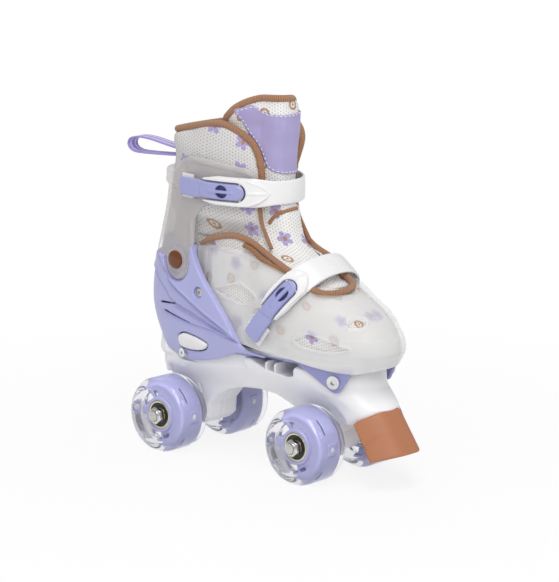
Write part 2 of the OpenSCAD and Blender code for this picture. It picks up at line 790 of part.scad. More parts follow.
liner_top = [[58, 183], [75, 186], [95, 182], [106, 172], [180, 170]];
liner_rear_cover = 2 * shell_t + 2 * nest_clear + 3;
module heel_liner() {
    color(FABRIC) boot_panel(
        steps(58, 302, 40), 6,
        function (turn) mix(148, insole_top + 0.6, ease(88, 104, side_turn(turn))),
        function (turn) lookup(side_turn(turn), liner_top),
        function (turn, z) mix(liner_cover, liner_rear_cover, ease(108, 128, side_turn(turn))), lining_t
    );
}

module insole() {
    turns = steps(0, 355, 71);
    color(BROWN) translate([0, 0, insole_z]) linear_extrude(height = insole_t)
        polygon([for (turn = turns) boot_xy(turn, deck_z + 10, -liner_cover - lining_t - 1)]);
}

// Toe

toe_top = [[0, 139], [20, 141], [34, 145.5], [49, 153], [63, 159], [78, 165], [98, 165], [110, 163]];
toe_low = [[0, 89], [10, 89], [38, 86.5], [58, 89], [70, 93], [94, 96], [110, 97]];
vamp_top = [
    [0, 140], [15, 141], [27, 144], [34, 148], [41, 158],
    [47, 167], [59, 175], [72, 178], [90, 174], [100, 167],
];
toe_high = function (turn) lookup(side_turn(turn), toe_top);
toe_floor = function (turn) deck_z - 87 + base_t - 4 + lookup(side_turn(turn), toe_low);
vamp_high = function (turn) lookup(side_turn(turn), vamp_top);

window_rear = [[-17, 132], [-15, 134.5], [3, 140], [6, 139.5], [23, 134], [21, 132], [8, 127], [5, 127.5]];
window_front = [[58, 108], [74, 114], [78, 113.5], [108, 106], [88, 102.5], [66, 105.5]];
window_top = [[101, -20], [107, -24.5], [114, -18], [108, -16.5]];
module toe_shell() {
    turns = concat(steps(-107, -44, 14), steps(-39, 39, 14), steps(44, 107, 14));
    color(FROST) difference() {
        boot_panel(turns, 10, toe_floor, toe_high, function (turn, z) tuck(turn, z), shell_t);
        for (side = [-1, 1], window = [window_rear, window_front])
            translate([0, side * boot_w / 2, 0]) side_profile(window, boot_w / 2 - 4);
        both_sides() translate([0, 0, 110]) linear_extrude(height = 40) polygon(window_top);
    }
}

slider_rear = -34;
module toe_slider() {
    turns = concat(steps(-104, 104, 40));
    cover = function (turn) shell_t + nest_clear + tuck(turn, slider_z) + 0.6;
    color(FROST) translate([0, 0, slider_z]) linear_extrude(height = slider_t) intersection() {
        polygon([for (turn = turns) boot_xy(turn, slider_z, -cover(turn))]);
        translate([slider_rear, -boot_w]) square([toe_reach - 24 - slider_rear, 2 * boot_w]);
    }
}

rack_x0 = -58;
rack_l = 70;
rack_w = 8;
module size_rack() {
    pitch = size_travel / (size_count - 1);
    color(WHITE) translate([rack_x0, -rack_w, rack_z]) difference() {
        cube([rack_l, 2 * rack_w, rack_h]);
        for (k = [0:size_count - 1]) translate([8 + k * pitch, -eps, -eps])
            cube([3, 3, rack_h + 2 * eps]);
    }
}

module vamp() {
    turns = concat(steps(-96, -44, 11), steps(-39, 39, 14), steps(44, 96, 11));
    color(FABRIC) boot_panel(
        turns, 7,
        function (turn) rack_z + 1,
        vamp_high,
        function (turn, z) vamp_cover + tuck(turn, z), lining_t
    );
}

// Cuff

cuff_top = [[44, 222], [60, 228], [80, 231], [112, 231], [119, 226], [126, 220], [140, 217.5], [180, 217]];
wing_turn = 102;
wing_low = 190;
ear_turn = 107;
ear_front_low = 160;
cuff_wing_low = [[44, 204], [60, 200], [96, 197], [wing_turn, wing_low]];
cuff_rear_low = 150;
cuff_high = function (turn) lookup(side_turn(turn), cuff_top);
function ear_low(turn) =
    let (dx = boot_point(side_turn(turn), pivot_z)[0] - pivot_x)
    abs(dx) < ear_r ? pivot_z - sqrt(ear_r * ear_r - dx * dx) : pivot_z;
cuff_low = function (turn)
    let (t = side_turn(turn))
    t <= wing_turn ? lookup(t, cuff_wing_low)
    : t < ear_turn + 1 ? mix(wing_low, ear_front_low, (t - wing_turn) / (ear_turn - wing_turn))
    : min(cuff_rear_low, ear_low(turn));

pivot_boss_r = 9;
module cuff() {
    side_turns = concat(
        steps(45, wing_turn - 1, 8), steps(wing_turn, ear_turn, 3), steps(ear_turn + 2, 139, 15), steps(146, 180, 5)
    );
    turns = concat(side_turns, [for (t = reversed(side_turns)) if (t < 180) 360 - t]);
    color(FROST) difference() {
        union() {
            boot_panel(turns, 8, cuff_low, cuff_high, function (turn, z) 0, shell_t);
            both_sides() rod_y(pivot_x, pivot_z, pivot_boss_r, -boss_y, -pivot_y + shell_t - 1);
        }
        rod_y(pivot_x, pivot_z, rivet_d / 2 + run_clear, -boot_w, boot_w);
        cuff_strap_rivet_hole();
    }
}

collar_top = [[36, 226], [44, 245], [61, 254], [80, 258], [96, 256], [140, 248], [180, 246]];
collar_low = [[36, 189], [46, 187], [51, 192.5], [62, 192.5], [72, 191], [90, 184], [101, 180], [180, 178]];
module collar() {
    color(FABRIC) boot_panel(
        concat(steps(38, 62, 6), steps(68, 292, 32), steps(298, 322, 6)), 6,
        function (turn) lookup(side_turn(turn), collar_low),
        function (turn) lookup(side_turn(turn), collar_top),
        function (turn, z) vamp_cover, collar_t
    );
}

tongue_low = 143;
tongue_drop = 17;
tongue_depth = [[140, 8], [165, 7.6], [180, 5], [195, 2.5], [222, 1.4], [240, -1], [256, -3.5], [290, -4]];
tongue_spread = [[140, 44], [192, 46], [214, 74], [290, 76]];
module tongue() {
    share = steps(-1, 1, 20);
    rows = 16;
    edge = vamp_cover + collar_t + nest_clear + 0.6;
    z_of = function (s, r) mix(tongue_low, tongue_z - tongue_drop * pow(abs(s), 3), r / rows);
    turn_of = function (s, z) s * lookup(z, tongue_spread);
    edge_depth = function (z) edge + ease(196, 176, z) - 4 * ease(256, 272, z);
    cover = function (turn, z) mix(lookup(z, tongue_depth), edge_depth(z), ease(10, 35, abs(turn)));
    layer = function (depth) [for (r = [0:rows]) [
        for (s = share) let (z = z_of(s, r), t = turn_of(s, z)) boot_point(t, z, -cover(t, z) - depth)
    ]];
    color(FABRIC) grid_solid(layer(0), layer(tongue_t));
}

loop_z = 226;
loop_root = back_at(loop_z) + vamp_cover - 0.6;
// The loop's root leans with the back of the collar
root_lean = (back_at(loop_z + loop_h / 2) - back_at(loop_z - loop_h / 2)) / 2;
function stadium(length, height) = concat(
    [for (a = steps(90, 270, 12)) [-length + height / 2 + height / 2 * cos(a), height / 2 * sin(a)]],
    [[-root_lean, -height / 2], [root_lean, height / 2]]
);
module pull_loop() {
    slot = loop_h - 2 * ribbon_t;
    color(LAVENDER) translate([loop_root, 0, loop_z]) rotate([90, 0, 0])
        linear_extrude(height = ribbon_w, center = true) difference() {
            polygon(stadium(loop_l, loop_h));
            translate([-ribbon_t, 0]) polygon(stadium(loop_l - 2 * ribbon_t, slot));
        }
}

// Cuff strap

strap_gap = 0.7;
pin_r = pin_d / 2;
knuckle_r = fork_t / 2;
fork_end = -94;
lever_pin_turn = -57;
slot_end = -52;
lever_end = -106;
cuff_hinge_turn = 80;
cuff_tail_end = 101;
fork_slot_w = lever_w + 2 * slide_clear;
lever_thin = 3.2;
lever_crown = 0.5;
cuff_eye_turn = -72;
cuff_rivet_turn = 94;
rivet_head_t = 1.4;
rivet_head_gap = 0.2;
catch_t = 1.7;
catch_steps = 12;
tooth_h = 0.6;

function fork_thickness(share) = mix(fork_t, strap_t, ease(0, 1, share));
function band(turns, point, low, high) = concat(
    [for (turn = turns) point(turn, high(turn))],
    [for (turn = reversed(turns)) point(turn, low(turn))]
);
cuff_line = function (turn, offset) boot_xy(turn, cuff_strap_z, offset);

module at_cuff_strap(w) {
    translate([0, 0, cuff_strap_z]) linear_extrude(height = w, center = true) children();
}

// A round of given radius and width across a strap, at a place on its line
module cuff_cross(turn, offset, r, w) {
    p = cuff_line(turn, offset);
    translate([p[0], p[1], cuff_strap_z - w / 2]) cylinder(r = r, h = w);
}

strap_mid = strap_gap + strap_t / 2;
pin_offset = strap_gap + knuckle_r;
hinge_gap = strap_t / 2 + slide_clear;

module cuff_strap() {
    color(WHITE) difference() {
        union() {
            at_cuff_strap(strap_w) polygon(band(
                steps(fork_end, cuff_hinge_turn, 44), cuff_line,
                function (t) strap_gap,
                function (t) strap_gap + fork_thickness((t - slot_end) / 30)
            ));
            cuff_cross(cuff_hinge_turn, strap_mid, strap_t / 2, strap_w);
        }
        at_cuff_strap(fork_slot_w) polygon(band(
            steps(fork_end - 4, slot_end, 12), cuff_line, function (t) -1, function (t) fork_t + 4
        ));
        cuff_cross(lever_pin_turn, pin_offset, pin_r + eps, strap_w + 1);
    }
}

cuff_tail_turn = cuff_hinge_turn + 3.4;
module cuff_strap_tail() {
    color(WHITE) difference() {
        at_cuff_strap(strap_w) polygon(band(
            steps(cuff_tail_turn, cuff_tail_end, 8), cuff_line,
            function (t) slide_clear, function (t) slide_clear + strap_t
        ));
        cuff_cross(cuff_hinge_turn, strap_mid, hinge_gap, strap_w + 1);
        cuff_strap_rivet_hole();
    }
}

strap_rivet_d = 4;
strap_rivet_head = 9;
cuff_rivet_x = cuff_line(cuff_rivet_turn, 0)[0];
cuff_rivet_y = cuff_line(cuff_rivet_turn, 0)[1];
module cuff_strap_rivet_hole() {
    rod_y(cuff_rivet_x, cuff_strap_z, strap_rivet_d / 2 + hole_clear, 0, boot_w);
}
module cuff_strap_rivet() {
    head_y = cuff_rivet_y + slide_clear + strap_t + rivet_head_gap;
    color(STEEL) {
        rod_y(cuff_rivet_x, cuff_strap_z, strap_rivet_d / 2, cuff_rivet_y - shell_t, head_y);
        rod_y(cuff_rivet_x, cuff_strap_z, strap_rivet_head / 2, head_y - eps, head_y + rivet_head_t);
    }
}

module cuff_lever_pin() {
    color(STEEL) cuff_cross(lever_pin_turn, pin_offset, pin_r, strap_w - 1);
}

function lever_low(share) = mix(strap_gap + 0.2, lever_thin, ease(0.3, 0.9, share));
function lever_high(share) = strap_gap + fork_t + lever_crown * ease(0, 0.6, share);

// A lever along a strap's line: a blade in the fork, a wider tail and a knuckle on the pin
module lever(point, pin_turn, end_turn, fork_turn, eye_turn) {
    share = function (t) (t - pin_turn) / (end_turn - pin_turn);
    pin_at = point(pin_turn, pin_offset);
    eye_at = point(eye_turn, 0);
    out_at = point(eye_turn, 1);
    blade = steps(pin_turn, end_turn, 16);
    tail = steps(mix(fork_turn, end_turn, 0.12), end_turn, 6);
    difference() {
        union() {
            linear_extrude(height = lever_w, center = true) polygon(band(
                blade, point, function (t) lever_low(share(t)), function (t) lever_high(share(t))
            ));
            linear_extrude(height = tail_w, center = true) polygon(band(
                tail, point, function (t) lever_low(share(t)), function (t) lever_high(share(t))
            ));
            translate([pin_at[0], pin_at[1], -lever_w / 2]) cylinder(r = knuckle_r, h = lever_w);
        }
        translate([pin_at[0], pin_at[1], -tail_w]) cylinder(r = pin_r + run_clear, h = 2 * tail_w);
        translate([eye_at[0], eye_at[1], 0])
            rotate([0, 0, atan2(out_at[1] - eye_at[1], out_at[0] - eye_at[0])]) rotate([0, 90, 0])
                difference() {
                    cylinder(d = eye_d, h = 3 * fork_t, center = true);
                    cube([eye_d / 4, eye_d + 2, 4 * fork_t], center = true);
                }
    }
}

module cuff_lever() {
    color(LAVENDER) translate([0, 0, cuff_strap_z])
        lever(cuff_line, lever_pin_turn, lever_end, fork_end, cuff_eye_turn);
}

module catch_plate(point, from, to) {
    turns = steps(from, to, catch_steps);
    linear_extrude(height = tail_w - 1, center = true) polygon(band(
        turns, point,
        function (t) slide_clear,
        function (t) catch_t + tooth_h * (round((t - from) * catch_steps / (to - from)) % 2)
    ));
}

module cuff_catch() {
    color(WHITE) translate([0, 0, cuff_strap_z]) catch_plate(cuff_line, fork_end - 3, lever_end - 2);
}

// Instep strap, drawn in its own leaning plane

instep_x = 29.5;
instep_z = 110;
instep_half_w = boot_w / 2;
instep_square = 2.3;
// Length of a degree of the straight ends past the sides
end_step = 0.75;
instep_line = function (turn, offset) abs(turn) > 90
    ? [-(abs(turn) - 90) * end_step, sign(turn) * (instep_half_w + offset)]
    : [(instep_arch + offset) * power(cos(turn), instep_square),
        (instep_half_w + offset) * power(sin(turn), instep_square)];

module at_instep() {
    translate([instep_x, 0, instep_z]) rotate([0, instep_lean - 90, 0]) children();
}

module instep_cross(turn, offset, r, w) {
    p = instep_line(turn, offset);
    at_instep() translate([p[0], p[1], -w / 2]) cylinder(r = r, h = w);
}

instep_fork_end = -80;
instep_pin_turn = -47;
instep_slot_end = -42.5;
instep_lever_end = -97;
instep_hinge_turn = 74;
instep_tail_end = 92;
instep_eye_turn = -57;
instep_rivet_turn = 86;

module instep_strap() {
    color(WHITE) difference() {
        union() {
            at_instep() linear_extrude(height = strap_w, center = true) polygon(band(
                steps(instep_fork_end, instep_hinge_turn, 44), instep_line,
                function (t) strap_gap,
                function (t) strap_gap + fork_thickness((t - instep_slot_end) / 28)
            ));
            instep_cross(instep_hinge_turn, strap_mid, strap_t / 2, strap_w);
        }
        at_instep() linear_extrude(height = fork_slot_w, center = true) polygon(band(
            steps(instep_fork_end - 4, instep_slot_end, 12), instep_line,
            function (t) -1, function (t) fork_t + 4
        ));
        instep_cross(instep_pin_turn, pin_offset, pin_r + eps, strap_w + 1);
    }
}

instep_tail_turn = instep_hinge_turn + 3;
instep_rivet_at = instep_line(instep_rivet_turn, 0);
module instep_rivet_hole(r, y0, y1) {
    at_instep() rod_y(instep_rivet_at[0], 0, r, y0, y1);
}

module instep_strap_tail() {
    color(WHITE) difference() {
        at_instep() linear_extrude(height = strap_w, center = true) polygon(band(
            steps(instep_tail_turn, instep_tail_end, 8), instep_line,
            function (t) slide_clear, function (t) slide_clear + strap_t
        ));
        instep_cross(instep_hinge_turn, strap_mid, hinge_gap, strap_w + 1);
        instep_rivet_hole(strap_rivet_d / 2 + hole_clear, 0, boot_w);
    }
}

module instep_strap_rivet() {
    head_y = instep_rivet_at[1] + slide_clear + strap_t + rivet_head_gap;
    color(STEEL) {
        instep_rivet_hole(strap_rivet_d / 2, instep_rivet_at[1] + slide_clear, head_y);
        instep_rivet_hole(strap_rivet_head / 2, head_y - eps, head_y + rivet_head_t);
    }
}

module instep_lever_pin() {
    color(STEEL) instep_cross(instep_pin_turn, pin_offset, pin_r, strap_w - 1);
}

module instep_lever() {
    color(LAVENDER) at_instep()
        lever(instep_line, instep_pin_turn, instep_lever_end, instep_fork_end, instep_eye_turn);
}

module instep_catch() {
    color(WHITE) at_instep() catch_plate(instep_line, instep_fork_end - 3, instep_lever_end - 3);
}

chassis();
axle(front_x);  // front_axle
axle(rear_x);  // rear_axle
axle_nuts();
axle_washers();
bearing_spacers();
toe_stop();
toe_stop_bolt();
base_plate();
heel_shell();
frame_bolts_front();
frame_bolts_rear();
shell_screws();
cuff_rivets();
cuff_rivet_caps();
heel_liner();
insole();
button_spring();
size_button();
toe_shell();
toe_slider();
size_rack();
vamp();
instep_catch();
instep_strap_tail();
instep_strap_rivet();
instep_strap();
instep_lever_pin();
instep_lever();
cuff();
collar();
tongue();
pull_loop();
cuff_catch();
cuff_strap_tail();
cuff_strap_rivet();
cuff_strap();
cuff_lever_pin();
cuff_lever();
at_wheel(front_x, 1) tyre();  // tyre_front_left
at_wheel(front_x, -1) tyre();  // tyre_front_right
at_wheel(rear_x, 1) tyre();  // tyre_rear_left
at_wheel(rear_x, -1) tyre();  // tyre_rear_right
at_wheel(front_x, 1) core();  // core_front_left
at_wheel(front_x, -1) core();  // core_front_right
at_wheel(rear_x, 1) core();  // core_rear_left
at_wheel(rear_x, -1) core();  // core_rear_right
at_wheel(front_x, 1) bearings();  // bearings_front_left
at_wheel(front_x, -1) bearings();  // bearings_front_right
at_wheel(rear_x, 1) bearings();  // bearings_rear_left
at_wheel(rear_x, -1) bearings();  // bearings_rear_right
at_wheel(front_x, 1) leds();  // leds_front_left
at_wheel(front_x, -1) leds();  // leds_front_right
at_wheel(rear_x, 1) leds();  // leds_rear_left
at_wheel(rear_x, -1) leds();  // leds_rear_right
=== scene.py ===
"""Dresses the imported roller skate: shells, straps, buckles, soft parts, wheels, light and camera."""
import json
import math

import bpy
import numpy as np
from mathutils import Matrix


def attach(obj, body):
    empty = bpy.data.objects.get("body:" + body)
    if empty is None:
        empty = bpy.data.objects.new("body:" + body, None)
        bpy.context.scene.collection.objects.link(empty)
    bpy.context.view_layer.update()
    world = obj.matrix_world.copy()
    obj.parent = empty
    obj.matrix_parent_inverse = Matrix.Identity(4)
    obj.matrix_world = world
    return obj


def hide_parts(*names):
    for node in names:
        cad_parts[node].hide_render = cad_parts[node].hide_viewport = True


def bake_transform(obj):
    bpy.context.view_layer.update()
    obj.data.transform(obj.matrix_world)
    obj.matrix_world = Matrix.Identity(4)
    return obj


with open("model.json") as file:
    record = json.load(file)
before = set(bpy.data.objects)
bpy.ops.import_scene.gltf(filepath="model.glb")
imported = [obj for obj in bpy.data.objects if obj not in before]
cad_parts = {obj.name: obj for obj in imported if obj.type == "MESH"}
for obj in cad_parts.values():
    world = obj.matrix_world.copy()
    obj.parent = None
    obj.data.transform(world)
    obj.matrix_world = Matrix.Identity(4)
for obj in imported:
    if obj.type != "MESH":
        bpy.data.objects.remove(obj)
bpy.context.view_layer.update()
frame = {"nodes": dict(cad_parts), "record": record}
MM = 0.001

# The boot's surface in millimetres, as the solids have it
SKIRT_Z = 72.0
HEEL_REACH = 106.0
TOE_REACH = 127.0
HALF_W = 42.5
# Height over the skirt, what the heel and the toe fall short of their reach, the widest place, what the half
# width falls short, and the squareness of the front and the rear
SECTIONS = np.array([
    [0, 18, 8, 35, 5.5, 2.3, 2.8],
    [8, 12, 5, 35, 3, 2.3, 2.8],
    [23, 5, 0, 35, 0, 2.3, 2.8],
    [38, 0.5, 1.5, 32, 0, 2.3, 2.8],
    [53, 0, 13, 25, 1.5, 2.3, 2.8],
    [68, 1.5, 37, 12, 3.5, 2.3, 2.7],
    [83, 4.5, 63, -5, 5, 2.2, 2.6],
    [98, 8.5, 85, -18, 6.5, 2.1, 2.5],
    [118, 14, 96, -28, 7, 2.1, 2.4],
    [138, 18, 101, -31, 7, 2.1, 2.4],
    [160, 22, 104, -31, 7, 2.1, 2.4],
    [183, 29, 105, -30, 8.5, 2.1, 2.4],
    [213, 34, 105, -29, 9.5, 2.1, 2.4],
])
# Wall of the shells, and how far the layer under a shell lies inside the boot's surface
SHELL_T = 2.5
INNER_SHELL = 3.2
# The cuff's pivot, in X and Z
PIVOT = (-61.0, 150.0)
AXLE_Z = 29.0
WHEEL_X = 70.0
WHEEL_Y = 34.6


def table_slopes(rows, values):
    slopes = np.empty_like(values)
    slopes[1:-1] = (values[2:] - values[:-2]) / (rows[2:] - rows[:-2])
    slopes[0] = (values[1] - values[0]) / (rows[1] - rows[0])
    slopes[-1] = (values[-1] - values[-2]) / (rows[-1] - rows[-2])
    return slopes


def smooth_at(rows, values, v):
    """A smooth curve through a table, taken at v."""
    rows = np.asarray(rows, float)
    values = np.asarray(values, float)
    slopes = table_slopes(rows, values)
    v = np.clip(v, rows[0], rows[-1])
    i = np.clip(np.searchsorted(rows, v, side="right") - 1, 0, len(rows) - 2)
    h = rows[i + 1] - rows[i]
    t = (v - rows[i]) / h
    bend = t * (1 - t) ** 2 * h * slopes[i] + t * t * (t - 1) * h * slopes[i + 1]
    return values[i] + (values[i + 1] - values[i]) * t * t * (3 - 2 * t) + bend


def section(z):
    """Back, front, widest place, half width and squareness, front and rear, of the boot at heights z."""
    back, front, mid, half, n_front, n_rear = [
        smooth_at(SECTIONS[:, 0], SECTIONS[:, k], np.asarray(z, float) - SKIRT_Z) for k in range(1, 7)]
    return back - HEEL_REACH, TOE_REACH - front, mid, HALF_W - half, n_front, n_rear


def half_section(x, columns):
    """Widest place, reach, half width and squareness of the half of a section that holds x."""
    back, front, mid, half, n_front, n_rear = columns
    ahead = x >= mid
    return mid, np.where(ahead, front - mid, mid - back), half, np.where(ahead, n_front, n_rear)


def power(v, n):
    return np.sign(v) * np.abs(v) ** (2 / n)


def boot_point(turn, z, offset=0.0):
    """Points of the boot's surface: turn 0 at the toe, 180 at the heel, negative on the outer side."""
    turn = np.radians(np.asarray(turn, float))
    z = np.asarray(z, float)
    back, front, mid, half, n_front, n_rear = section(z)
    ahead = np.cos(turn) >= 0
    n = np.where(ahead, n_front, n_rear)
    reach = np.where(ahead, front - mid, mid - back) + offset
    x = mid + reach * power(np.cos(turn), n)
    y = (half + offset) * power(np.sin(turn), n)
    return np.stack(np.broadcast_arrays(x, y, z), axis=-1)


def side_y(x, z, offset=0.0):
    """Half width of the boot's surface at places x along it."""
    mid, reach, half, n = half_section(x, section(z))
    share = np.minimum(np.abs(x - mid) / (reach + offset), 1)
    return (half + offset) * np.maximum(1 - share ** n, 0) ** (1 / n)


def ease(a, b, v):
    """0 at a, 1 at b, with a smooth way between them."""
    t = np.clip((v - a) / (b - a), 0, 1)
    return t * t * (3 - 2 * t)


def soft(v, k):
    """0 below, 1 above, smooth over k on both sides."""
    return ease(-k, k, v)


def bead(v, width):
    """A rounded ridge, 1 high where v is 0."""
    return np.exp(-(v / width) ** 2)


def round_min(a, b, k):
    """Joins two bodies with a fillet of about k."""
    h = np.maximum(k - np.abs(a - b), 0) / k
    return np.minimum(a, b) - h * h * k / 4


def round_max(a, b, k):
    """What two bodies share, with its edge rounded by about k."""
    return -round_min(-a, -b, k)


def carve(body, tool, k):
    return round_max(body, -tool, k)


class Space:
    """A block of sample points, in millimetres."""

    def __init__(self, low, high, step):
        self.low = np.array(low, np.float32)
        self.step = step
        axes = [np.arange(a, b + step, step, dtype=np.float32) for a, b in zip(low, high)]
        self.x = axes[0][:, None, None]
        self.y = axes[1][None, :, None]
        self.z = axes[2][None, None, :]
        self.aside = np.abs(self.y)

    def side(self, points):
        """Distance to an outline in X and Z, negative inside."""
        return polygon_distance(self.x[:, :, 0], self.z[0], points)[:, None, :]

    def plan(self, points):
        """Distance to an outline in X and Y."""
        return polygon_distance(self.x[:, :, 0], self.y[0, :, 0][None, :], points)[:, :, None]

    def end(self, points):
        """Distance to an outline in |Y| and Z."""
        return polygon_distance(self.aside[0], self.z[0], points)[None, :, :]

    def ring(self, x, z):
        """Distance from a line along Y."""
        return np.hypot(self.x - x, self.z - z)

    def boot(self):
        """Distance to the boot's surface, negative inside."""
        columns = [c.astype(np.float32) for c in section(self.z)]
        mid, reach, half, n = half_section(self.x, columns)
        f = ((np.abs(self.x - mid) / reach) ** n + (self.aside / half) ** n) ** (1 / n)
        steep = np.sqrt(sum(g * g for g in np.gradient(f, self.step)) + 1e-8)
        return (f - 1) / steep


def polygon_distance(px, py, points):
    points = np.asarray(points, np.float32)
    best = np.full(np.broadcast(px, py).shape, 1e9, np.float32)
    inside = np.zeros(best.shape, bool)
    for a, b in zip(points, np.roll(points, -1, axis=0)):
        ex, ey = b - a
        wx, wy = px - a[0], py - a[1]
        t = np.clip((wx * ex + wy * ey) / max(ex * ex + ey * ey, 1e-9), 0, 1)
        best = np.minimum(best, (wx - t * ex) ** 2 + (wy - t * ey) ** 2)
        crosses = ((a[1] <= py) & (py < b[1])) | ((b[1] <= py) & (py < a[1]))
        if ey != 0:
            inside ^= crosses & (px < a[0] + (py - a[1]) / ey * ex)
    return np.where(inside, -1, 1) * np.sqrt(best)


def spline(points, per=6, closed=False):
    """A smooth line through points of any dimension."""
    points = np.asarray(points, float)
    count = len(points)
    out = []
    for i in range(count if closed else count - 1):
        if closed:
            p = points[[(i - 1) % count, i, (i + 1) % count, (i + 2) % count]]
        else:
            p = points[[max(i - 1, 0), i, i + 1, min(i + 2, count - 1)]]
        for t in np.arange(per) / per:
            out.append(0.5 * (
                2 * p[1] + (p[2] - p[0]) * t + (2 * p[0] - 5 * p[1] + 4 * p[2] - p[3]) * t * t
                + (3 * p[1] - p[0] - 3 * p[2] + p[3]) * t ** 3))
    if not closed:
        out.append(points[-1])
    return np.array(out)


def even(points, step):
    """The same line with points at even distances."""
    lengths = np.concatenate([[0], np.cumsum(np.linalg.norm(np.diff(points, axis=0), axis=1))])
    count = max(int(lengths[-1] / step), 2)
    at = np.linspace(0, lengths[-1], count + 1)
    return np.stack([np.interp(at, lengths, points[:, k]) for k in range(points.shape[1])], axis=1)


CORNERS = np.array([[i, j, k] for i in (0, 1) for j in (0, 1) for k in (0, 1)])
EDGES = [(a, b) for a in range(8) for b in range(a + 1, 8) if np.abs(CORNERS[a] - CORNERS[b]).sum() == 1]


def surface_net(field, space):
    """Points and four-sided faces on the zero level of a sampled field."""
    field = np.ascontiguousarray(field, np.float32)
    inside = field < 0
    size = np.array(field.shape) - 1
    count = sum(inside[i:i + size[0], j:j + size[1], k:k + size[2]].astype(np.int8) for i, j, k in CORNERS)
    cells = np.argwhere((count > 0) & (count < 8))
    number = np.full(count.shape, -1, np.int32)
    number[tuple(cells.T)] = np.arange(len(cells))
    values = [field[tuple((cells + c).T)] for c in CORNERS]
    total = np.zeros((len(cells), 3), np.float32)
    hits = np.zeros(len(cells), np.float32)
    for a, b in EDGES:
        fa, fb = values[a], values[b]
        crossed = (fa < 0) != (fb < 0)
        t = np.where(crossed, fa / np.where(crossed, fa - fb, 1), 0)
        total += crossed[:, None] * (CORNERS[a] + t[:, None] * (CORNERS[b] - CORNERS[a]))
        hits += crossed
    points = settle(cells + total / hits[:, None], field)
    faces = []
    for axis in range(3):
        u, v = [k for k in range(3) if k != axis]
        first = np.take(inside, np.arange(field.shape[axis] - 1), axis)
        second = np.take(inside, np.arange(1, field.shape[axis]), axis)
        at = np.argwhere(first != second)
        at = at[(at[:, u] > 0) & (at[:, v] > 0) & (at[:, u] < size[u]) & (at[:, v] < size[v])]
        ring = []
        for du, dv in ((0, 0), (1, 0), (1, 1), (0, 1)):
            cell = at.copy()
            cell[:, u] -= du
            cell[:, v] -= dv
            ring.append(number[tuple(cell.T)])
        quads = np.stack(ring, axis=1)
        turn = first[tuple(at.T)] == (axis == 1)
        quads[turn] = quads[turn][:, ::-1]
        faces.append(quads)
    return space.low + points * space.step, np.concatenate(faces)


def settle(points, field, rounds=2):
    """Moves net points onto the zero level, so that the steps of the samples don't show."""
    slopes = np.gradient(field)
    top = np.array(field.shape) - 2
    for _ in range(rounds):
        base = np.clip(np.floor(points).astype(int), 0, top)
        part = points - base
        value = 0.0
        slope = np.zeros((len(points), 3), np.float32)
        for c in CORNERS:
            weight = np.prod(np.where(c, part, 1 - part), axis=1)
            at = tuple((base + c).T)
            value = value + weight * field[at]
            for k in range(3):
                slope[:, k] += weight * slopes[k][at]
        move = value[:, None] * slope / np.maximum((slope * slope).sum(axis=1), 1e-6)[:, None]
        points = points - np.clip(move, -0.5, 0.5)
    return points


def make_mesh(name, points, faces):
    """A smooth object; its faces are rows of one length, or lists."""
    mesh = bpy.data.meshes.new(name)
    points = np.asarray(points, np.float32) * MM
    mesh.vertices.add(len(points))
    mesh.vertices.foreach_set("co", points.ravel())
    if isinstance(faces, np.ndarray):
        totals = np.full(len(faces), faces.shape[1])
        corners = faces.ravel()
    else:
        totals = np.array([len(f) for f in faces])
        corners = np.concatenate(faces)
    mesh.loops.add(len(corners))
    mesh.loops.foreach_set("vertex_index", corners.astype(np.int32))
    mesh.polygons.add(len(totals))
    mesh.polygons.foreach_set("loop_start", np.concatenate([[0], np.cumsum(totals)[:-1]]).astype(np.int32))
    mesh.polygons.foreach_set("use_smooth", np.full(len(totals), True))
    mesh.update()
    mesh.validate()
    piece = bpy.data.objects.new(name, mesh)
    bpy.context.scene.collection.objects.link(piece)
    return piece


def store(piece, values):
    """Keeps where each point lies on its cloth, in millimetres."""
    kept = piece.data.attributes.new("cloth", "FLOAT_VECTOR", "POINT")
    kept.data.foreach_set("vector", np.asarray(values, np.float32).ravel())


def dress(piece, material, body, slot, *nodes):
    """Gives a piece its material, attaches it to one body or, where two are given, leaves it unattached, and
    hides the solids that it stands for.
    """
    piece.data.materials.clear()
    piece.data.materials.append(material)
    if isinstance(body, tuple):
        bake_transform(piece)
    else:
        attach(piece, body)
    if nodes:
        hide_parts(*nodes)


def solid(name, space, field, warp=None, cloth=None):
    """An object on the zero level of a field; warp bends its points, and cloth lays a fabric on them."""
    points, faces = surface_net(field, space)
    if warp:
        points = warp(points)
    piece = make_mesh(name, points, faces)
    if cloth:
        store(piece, cloth(points))
    return piece


def tube_points(path, radius, sides):
    """Rings of points round a path."""
    ahead = np.gradient(path, axis=0)
    ahead /= np.linalg.norm(ahead, axis=1)[:, None]
    across = np.cross(ahead[0], [0.3, 0.5, 0.8])
    a = np.arange(sides) * 2 * math.pi / sides
    rings = []
    for p, d, r in zip(path, ahead, radius):
        across = across - d * (across @ d)
        across /= np.linalg.norm(across)
        up = np.cross(d, across)
        rings.append(p + r * (np.cos(a)[:, None] * across + np.sin(a)[:, None] * up))
    return np.concatenate(rings)


def tube_faces(count, sides):
    return [
        [i * sides + j, i * sides + (j + 1) % sides, (i + 1) * sides + (j + 1) % sides, (i + 1) * sides + j]
        for i in range(count - 1) for j in range(sides)]


def lathe(profile, segments=96):
    """Points and faces of a closed profile of radius and place along Y, turned round Y."""
    profile = np.asarray(profile, float)
    a = np.arange(segments) * 2 * math.pi / segments
    points = np.stack([
        np.outer(np.cos(a), profile[:, 0]), np.broadcast_to(profile[:, 1], (segments, len(profile))),
        np.outer(np.sin(a), profile[:, 0])], axis=-1).reshape(-1, 3)
    n = len(profile)
    i, j = np.meshgrid(np.arange(segments), np.arange(n), indexing="ij")
    faces = np.stack([
        i * n + j, i * n + (j + 1) % n, (i + 1) % segments * n + (j + 1) % n, (i + 1) % segments * n + j,
    ], axis=-1).reshape(-1, 4)
    return points, faces


